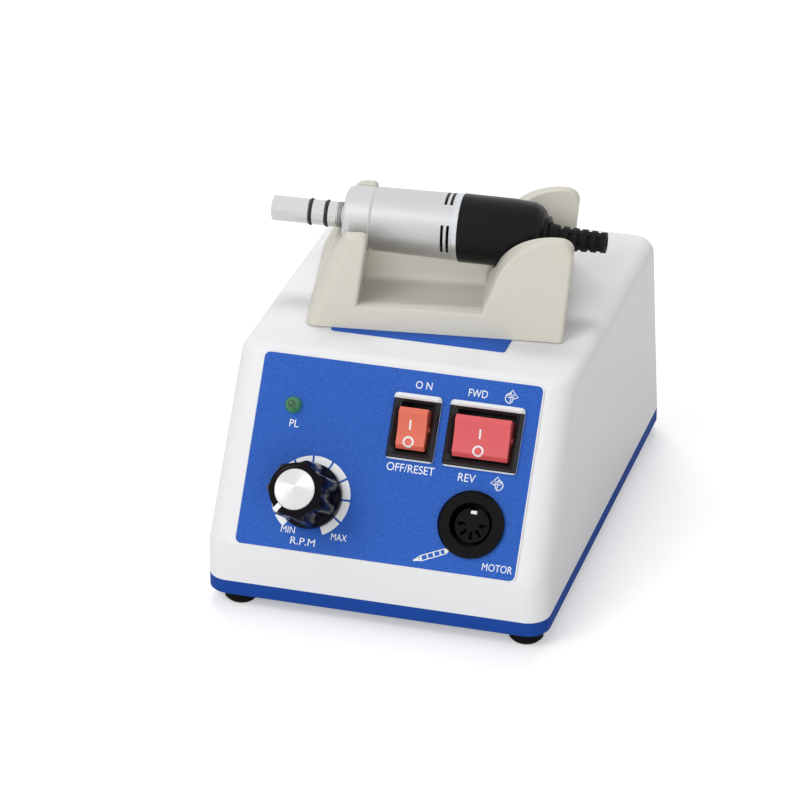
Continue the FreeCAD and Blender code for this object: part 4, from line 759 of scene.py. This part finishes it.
KNOB_FLUTES = 7
KNOB_POINTER = 233.0
STEPS_PER_FLUTE = 20
FLUTE_DEPTH = 1.75
FLUTE_FOOT = (3.2, 5.6)
FLUTE_SHOULDER = (8.3, 9.85)
CAP_SEAT = KNOB_HEIGHT - 0.8
CAP_RADIUS = 6.45
KNOB_BORE = 3.05
KNOB_SHOULDER = (
    (KNOB_HEIGHT, 7.4),
    (19.5, 7.95),
    (19.2, 8.45),
    (18.7, 8.9),
    (18.0, 9.3),
    (17.2, 9.6),
    (16.4, 9.8),
)
KNOB_WALL = [(16.4 - 1.15 * i, 9.85 + 0.03 * i) for i in range(1, 10)]
KNOB_SKIRT = (
    (5.2, 10.15),
    (4.5, 10.2),
    (3.8, 10.3),
    (3.2, 10.4),
    (2.6, 10.45),
    (0.8, 10.45),
    (0.4, 10.1),
)
KNOB_HOLLOW = ((0.4, 8.9), (3.2, 7.6), (14.0, 7.3), (14.0, 5.2), (5.6, 5.2), (5.6, KNOB_BORE))
POINTER_SIZE = (2.64, 1.7, 5.0)
POINTER_PLACE = (7.82, 0, -2.38)


def soft_step(value, low, high):
    """Smooth change from 0 to 1 between two values."""
    share = min(1.0, max(0.0, (value - low) / (high - low)))
    return share * share * (3 - 2 * share)


def fluted_knob():
    """Knob with a domed shoulder and scooped flutes, in place of the plain one."""
    seat = [(CAP_SEAT, KNOB_BORE), (CAP_SEAT, CAP_RADIUS), (KNOB_HEIGHT, CAP_RADIUS)]
    bm = bmesh.new()
    outline = [*seat, *KNOB_SHOULDER, *KNOB_WALL, *KNOB_SKIRT, *KNOB_HOLLOW]
    spun_profile(bm, outline, KNOB_FLUTES * STEPS_PER_FLUTE)
    bmesh.ops.remove_doubles(bm, verts=bm.verts, dist=MERGE)
    for vertex in bm.verts:
        along, *across = vertex.co
        reach = math.hypot(*across)
        if reach < FLUTE_SHOULDER[0] or along < FLUTE_FOOT[0]:
            continue
        scoop = (1 - math.cos(KNOB_FLUTES * math.atan2(across[1], across[0]))) / 2
        fade = soft_step(along, *FLUTE_FOOT) * soft_step(reach, *FLUTE_SHOULDER)
        vertex.co.yz = [part * (1 - FLUTE_DEPTH * scoop * fade / reach) for part in across]
    stand = turned(-90, "Y") @ turned(KNOB_POINTER - 90, "X")
    piece = piece_from(bm, "fluted_knob", on_panel(KNOB_ACROSS, KNOB_UP) @ stand)
    smooth_by_angle(piece, 38)
    finished(piece, "knob_black", "speed_knob")
    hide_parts("speed_knob")


def knob_pointer():
    """White bar let into the knob's shoulder, from its cap down one lobe."""
    bm = bmesh.new()
    block(bm, POINTER_SIZE, POINTER_PLACE)
    soften(bm, 0.15)
    knob_top = on_panel(KNOB_ACROSS, KNOB_UP, SHEET_FACE + KNOB_HEIGHT)
    piece = piece_from(bm, "knob_pointer", knob_top @ turned(KNOB_POINTER, "Z"))
    finished(piece, "print_white", "speed_knob")


def socket_key_glint():
    """Pale locating tab in the notch of the socket's core, white as a painted highlight of the metal key's
    reflection.
    """
    bm = bmesh.new()
    block(bm, (2.0, 1.1, 2.0))
    soften(bm, 0.12)
    piece = piece_from(bm, "socket_key_glint", on_panel(SOCKET_ACROSS, SOCKET_UP + 4.0, -1.45))
    finished(piece, "print_white", "console")


# Boot: places along the handpiece's axis and radii in millimetres

BOOT_START = 90.6
BOOT_END = 109.1
BOOT_BORE = 2.3
BOOT_ROOT = (BOOT_START - 2.8, 3.1)
COLLAR_WIDTH = 0.8
COLLAR_RADIUS = 4.9
COLLAR_EDGE = 0.15
NECK_RADII = (4.5, 4.12, 4.0)
BOOT_RIBS = 5
BOOT_PITCH = 3.05
RIB_WIDTH = 1.85
RIB_GAP = BOOT_PITCH - RIB_WIDTH
RIB_RADII = (3.95, 3.38)
RIB_EDGE = 0.14
RIB_TAPER = 0.02
GROOVE_DEPTH = 0.85
FIRST_RIB = BOOT_END - (BOOT_RIBS - 1) * BOOT_PITCH - RIB_WIDTH
BRIDGE_SIZE = (RIB_GAP + 0.4, 1.7, 1.3)
BRIDGE_TURN = 20


def rib_outline(start, outer):
    """Groove before a rib, then the rib with its small rounded edges."""
    floor = outer - GROOVE_DEPTH
    return [
        (start - RIB_GAP, floor),
        (start, floor),
        (start, outer - RIB_EDGE),
        (start + RIB_EDGE, outer),
        (start + RIB_WIDTH - RIB_EDGE, outer - RIB_TAPER),
        (start + RIB_WIDTH, outer - RIB_EDGE),
    ]


def rib_bridges(bm, middle, outer, turn):
    """Two blocks that join a rib to the next one, on opposite sides."""
    for side in (0, 180):
        corners = block(bm, BRIDGE_SIZE, (middle, 0, outer - GROOVE_DEPTH))
        bmesh.ops.rotate(bm, verts=corners, cent=(0, 0, 0), matrix=turned(turn + side, "X"))


def boot_grid():
    """Strain relief: ringed neck, then ribs on a thin core with bridges between them."""
    bm = bmesh.new()
    collar_end = BOOT_START + COLLAR_WIDTH
    outline = [
        (BOOT_ROOT[0], BOOT_BORE),
        BOOT_ROOT,
        (BOOT_START, BOOT_ROOT[1]),
        (BOOT_START, COLLAR_RADIUS - COLLAR_EDGE),
        (BOOT_START + COLLAR_EDGE, COLLAR_RADIUS),
        (collar_end - COLLAR_EDGE, COLLAR_RADIUS),
        (collar_end, COLLAR_RADIUS - COLLAR_EDGE),
        (collar_end, NECK_RADII[0]),
        (FIRST_RIB - RIB_GAP - 0.2, NECK_RADII[1]),
        (FIRST_RIB - RIB_GAP, NECK_RADII[2]),
    ]
    for i in range(BOOT_RIBS):
        start = FIRST_RIB + i * BOOT_PITCH
        outer = RIB_RADII[0] + (RIB_RADII[1] - RIB_RADII[0]) * i / (BOOT_RIBS - 1)
        outline += rib_outline(start, outer)
        if i < BOOT_RIBS - 1:
            middle = start + (BOOT_PITCH + RIB_WIDTH) / 2
            rib_bridges(bm, middle, outer, BRIDGE_TURN + 90 * (i % 2))
    outline.append((BOOT_END, BOOT_BORE))
    spun_profile(bm, outline, 64)
    piece = piece_from(bm, "boot_grid", HANDPIECE @ SCALE_TO_METRES)
    smooth_by_angle(piece, 35)
    finished(piece, "boot_rubber", "handpiece")
    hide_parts("cable_boot")


# Lamp lens: heights from the sheet and radii in millimetres

LENS_RISE = 2.1
LENS_RIM = ((0, 2.75), (0.55, 2.75), (0.75, LENS_RADIUS))
LENS_STEM = ((-9, 0), (-9, 2.1), (0, 2.1))


def lamp_dome():
    """Smooth domed lens with a small rim, in place of the plain lamp."""
    bm = bmesh.new()
    foot = LENS_RIM[-1][0]
    turns = [math.radians(9 * i) for i in range(1, 10)]
    dome = [(foot + LENS_RISE * math.sin(t), LENS_RADIUS * math.cos(t)) for t in turns]
    spun_profile(bm, [*LENS_STEM, *LENS_RIM, *dome, (foot + LENS_RISE, 0)], 48)
    piece = piece_from(bm, "lamp_dome", on_panel(LAMP_ACROSS, LAMP_UP) @ turned(-90, "Y"))
    smooth_by_angle(piece, 40)
    finished(piece, "lamp_green", "console")
    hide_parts("pilot_lamp")


# Camera and light

TARGET = Vector((-10.1, -5.65, 43.7)) * MM
CAMERA_PLACE = Vector((329.62, -1163.08, 671.56)) * MM
CAMERA_ROLL = -0.164
CAMERA_LENS = 189.0
FILL_STRENGTH = 0.38
FLOOR_MIRRORED = 0.12
GLOW_REACH = (0.3, 1.3)
GLOW_STRENGTH = (0.36, 0.72)

# Name, place, size, watts, and whether polished surfaces mirror it
LAMPS = (
    ("key", (-0.55, -0.75, 0.95), (0.9, 0.9), 5.6, False),
    ("glint", (-0.52, -0.8, 0.98), (0.3, 0.3), 1.3, True),
    ("overhead", (-0.15, 0.6, 0.95), (0.8, 0.25), 5.0, False),
    ("front", (0.0, -1.35, 0.55), (1.3, 0.9), 1.8, False),
    ("front_right", (0.55, -1.2, 0.45), (0.5, 0.7), 3.3, False),
)


def photo_camera():
    data = bpy.data.cameras.new("photo_camera")
    data.lens = CAMERA_LENS
    data.sensor_width = 36.0
    data.clip_start = 0.05
    data.clip_end = 20.0
    camera = add_object("photo_camera", data)
    look = (TARGET - CAMERA_PLACE).to_track_quat("-Z", "Y").to_matrix().to_4x4()
    camera.matrix_world = Matrix.Translation(CAMERA_PLACE) @ look @ turned(CAMERA_ROLL, "Z")
    bpy.context.scene.camera = camera


def soft_box(name, place, size, power, mirrored):
    """Rectangular lamp turned to the object, seen or not seen in its polished surfaces."""
    data = bpy.data.lights.new(name, "AREA")
    data.shape = "RECTANGLE"
    data.size, data.size_y = size
    data.energy = power
    lamp = add_object(name, data)
    lamp.location = place
    lamp.rotation_mode = "QUATERNION"
    lamp.rotation_quaternion = (TARGET - Vector(place)).to_track_quat("-Z", "Y")
    lamp.visible_glossy = mirrored


def backdrop_mask(tree, mirrored):
    """One for camera and transmission rays, and a share for the rays that metal mirrors."""
    path = add_node(tree, "ShaderNodeLightPath")
    seen = maths(tree, "MULTIPLY", path.outputs["Is Glossy Ray"], mirrored)
    for ray in ("Is Camera Ray", "Is Transmission Ray"):
        seen = maths(tree, "MAXIMUM", seen, path.outputs[ray])
    return seen


def studio_world():
    """Even soft light, with a white backdrop where it is seen."""
    world = bpy.data.worlds.new("studio")
    bpy.context.scene.world = world
    world.use_nodes = True
    tree = world.node_tree
    fill = tree.nodes["Background"]
    backdrop = add_node(tree, "ShaderNodeBackground")
    set_inputs(fill, {"Color": (1, 1, 1, 1), "Strength": FILL_STRENGTH})
    set_inputs(backdrop, {"Color": (1, 1, 1, 1), "Strength": 1.0})
    mix = add_node(tree, "ShaderNodeMixShader")
    tree.links.new(backdrop_mask(tree, 1.0), mix.inputs[0])
    tree.links.new(fill.outputs[0], mix.inputs[1])
    tree.links.new(backdrop.outputs[0], mix.inputs[2])
    tree.links.new(mix.outputs[0], tree.nodes["World Output"].inputs["Surface"])


def studio_floor():
    """Pale floor that keeps the shadow but shows white where nothing shades it."""
    bm = bmesh.new()
    bmesh.ops.create_grid(bm, x_segments=1, y_segments=1, size=4.0)
    floor = piece_from(bm, "floor", Matrix())
    material = new_material("floor_white")
    tree = material.node_tree
    shader = shader_of(material)
    paint = {"Base Color": (0.82, 0.82, 0.82, 1), "Roughness": 0.8, "Specular IOR Level": 0.1}
    set_inputs(shader, paint)
    glow = add_node(tree, "ShaderNodeEmission")
    set_inputs(glow, {"Color": (1, 1, 1, 1)})
    away = vector_maths(tree, "LENGTH", surface_point(tree))
    further = map_range(tree, away, GLOW_REACH, GLOW_STRENGTH)
    lift = maths(tree, "MULTIPLY", backdrop_mask(tree, FLOOR_MIRRORED), further)
    tree.links.new(lift, glow.inputs["Strength"])
    both = add_node(tree, "ShaderNodeAddShader")
    tree.links.new(shader.outputs[0], both.inputs[0])
    tree.links.new(glow.outputs[0], both.inputs[1])
    tree.links.new(both.outputs[0], tree.nodes["Material Output"].inputs["Surface"])
    floor.data.materials.append(material)


# Nodes whose finish differs from their record slot
# The socket's contacts take near-black metal as painted shade in their slots
OWN_FINISH = {"roof_label": "label_blue", "motor_socket_contacts": "contact_painted_shade"}


def carried_nodes():
    """Every CAD node takes the material of its record slot."""
    slots = {part["node"]: part["material_slot"] for part in frame["record"]["subparts"]}
    for name, node in frame["nodes"].items():
        node.data.materials.clear()
        node.data.materials.append(MATERIALS[OWN_FINISH.get(name, slots[name])])


photo_camera()
studio_world()
studio_floor()
for lamp in LAMPS:
    soft_box(*lamp)
bpy.context.scene.view_settings.view_transform = "Standard"
carried_nodes()
panel_words()
speed_scale()
bur_drawing("mark_forward", 35.9, 57.2, 1)
bur_drawing("mark_reverse", 35.6, 29.8, -1)
handpiece_drawing()
rocker_marks("power_rocker", POWER_ACROSS)
rocker_marks("direction_rocker", DIRECTION_ACROSS)
# Pale skins on the switch frames, painted highlights of their edges
frame_highlight("power_frame_highlight", "power_switch_body", POWER_ACROSS, 15.2, 20.9)
frame_highlight("direction_frame_highlight", "direction_switch_body", DIRECTION_ACROSS, 23.8, 20.9)
fluted_knob()
knob_pointer()
socket_key_glint()
boot_grid()
lamp_dome()
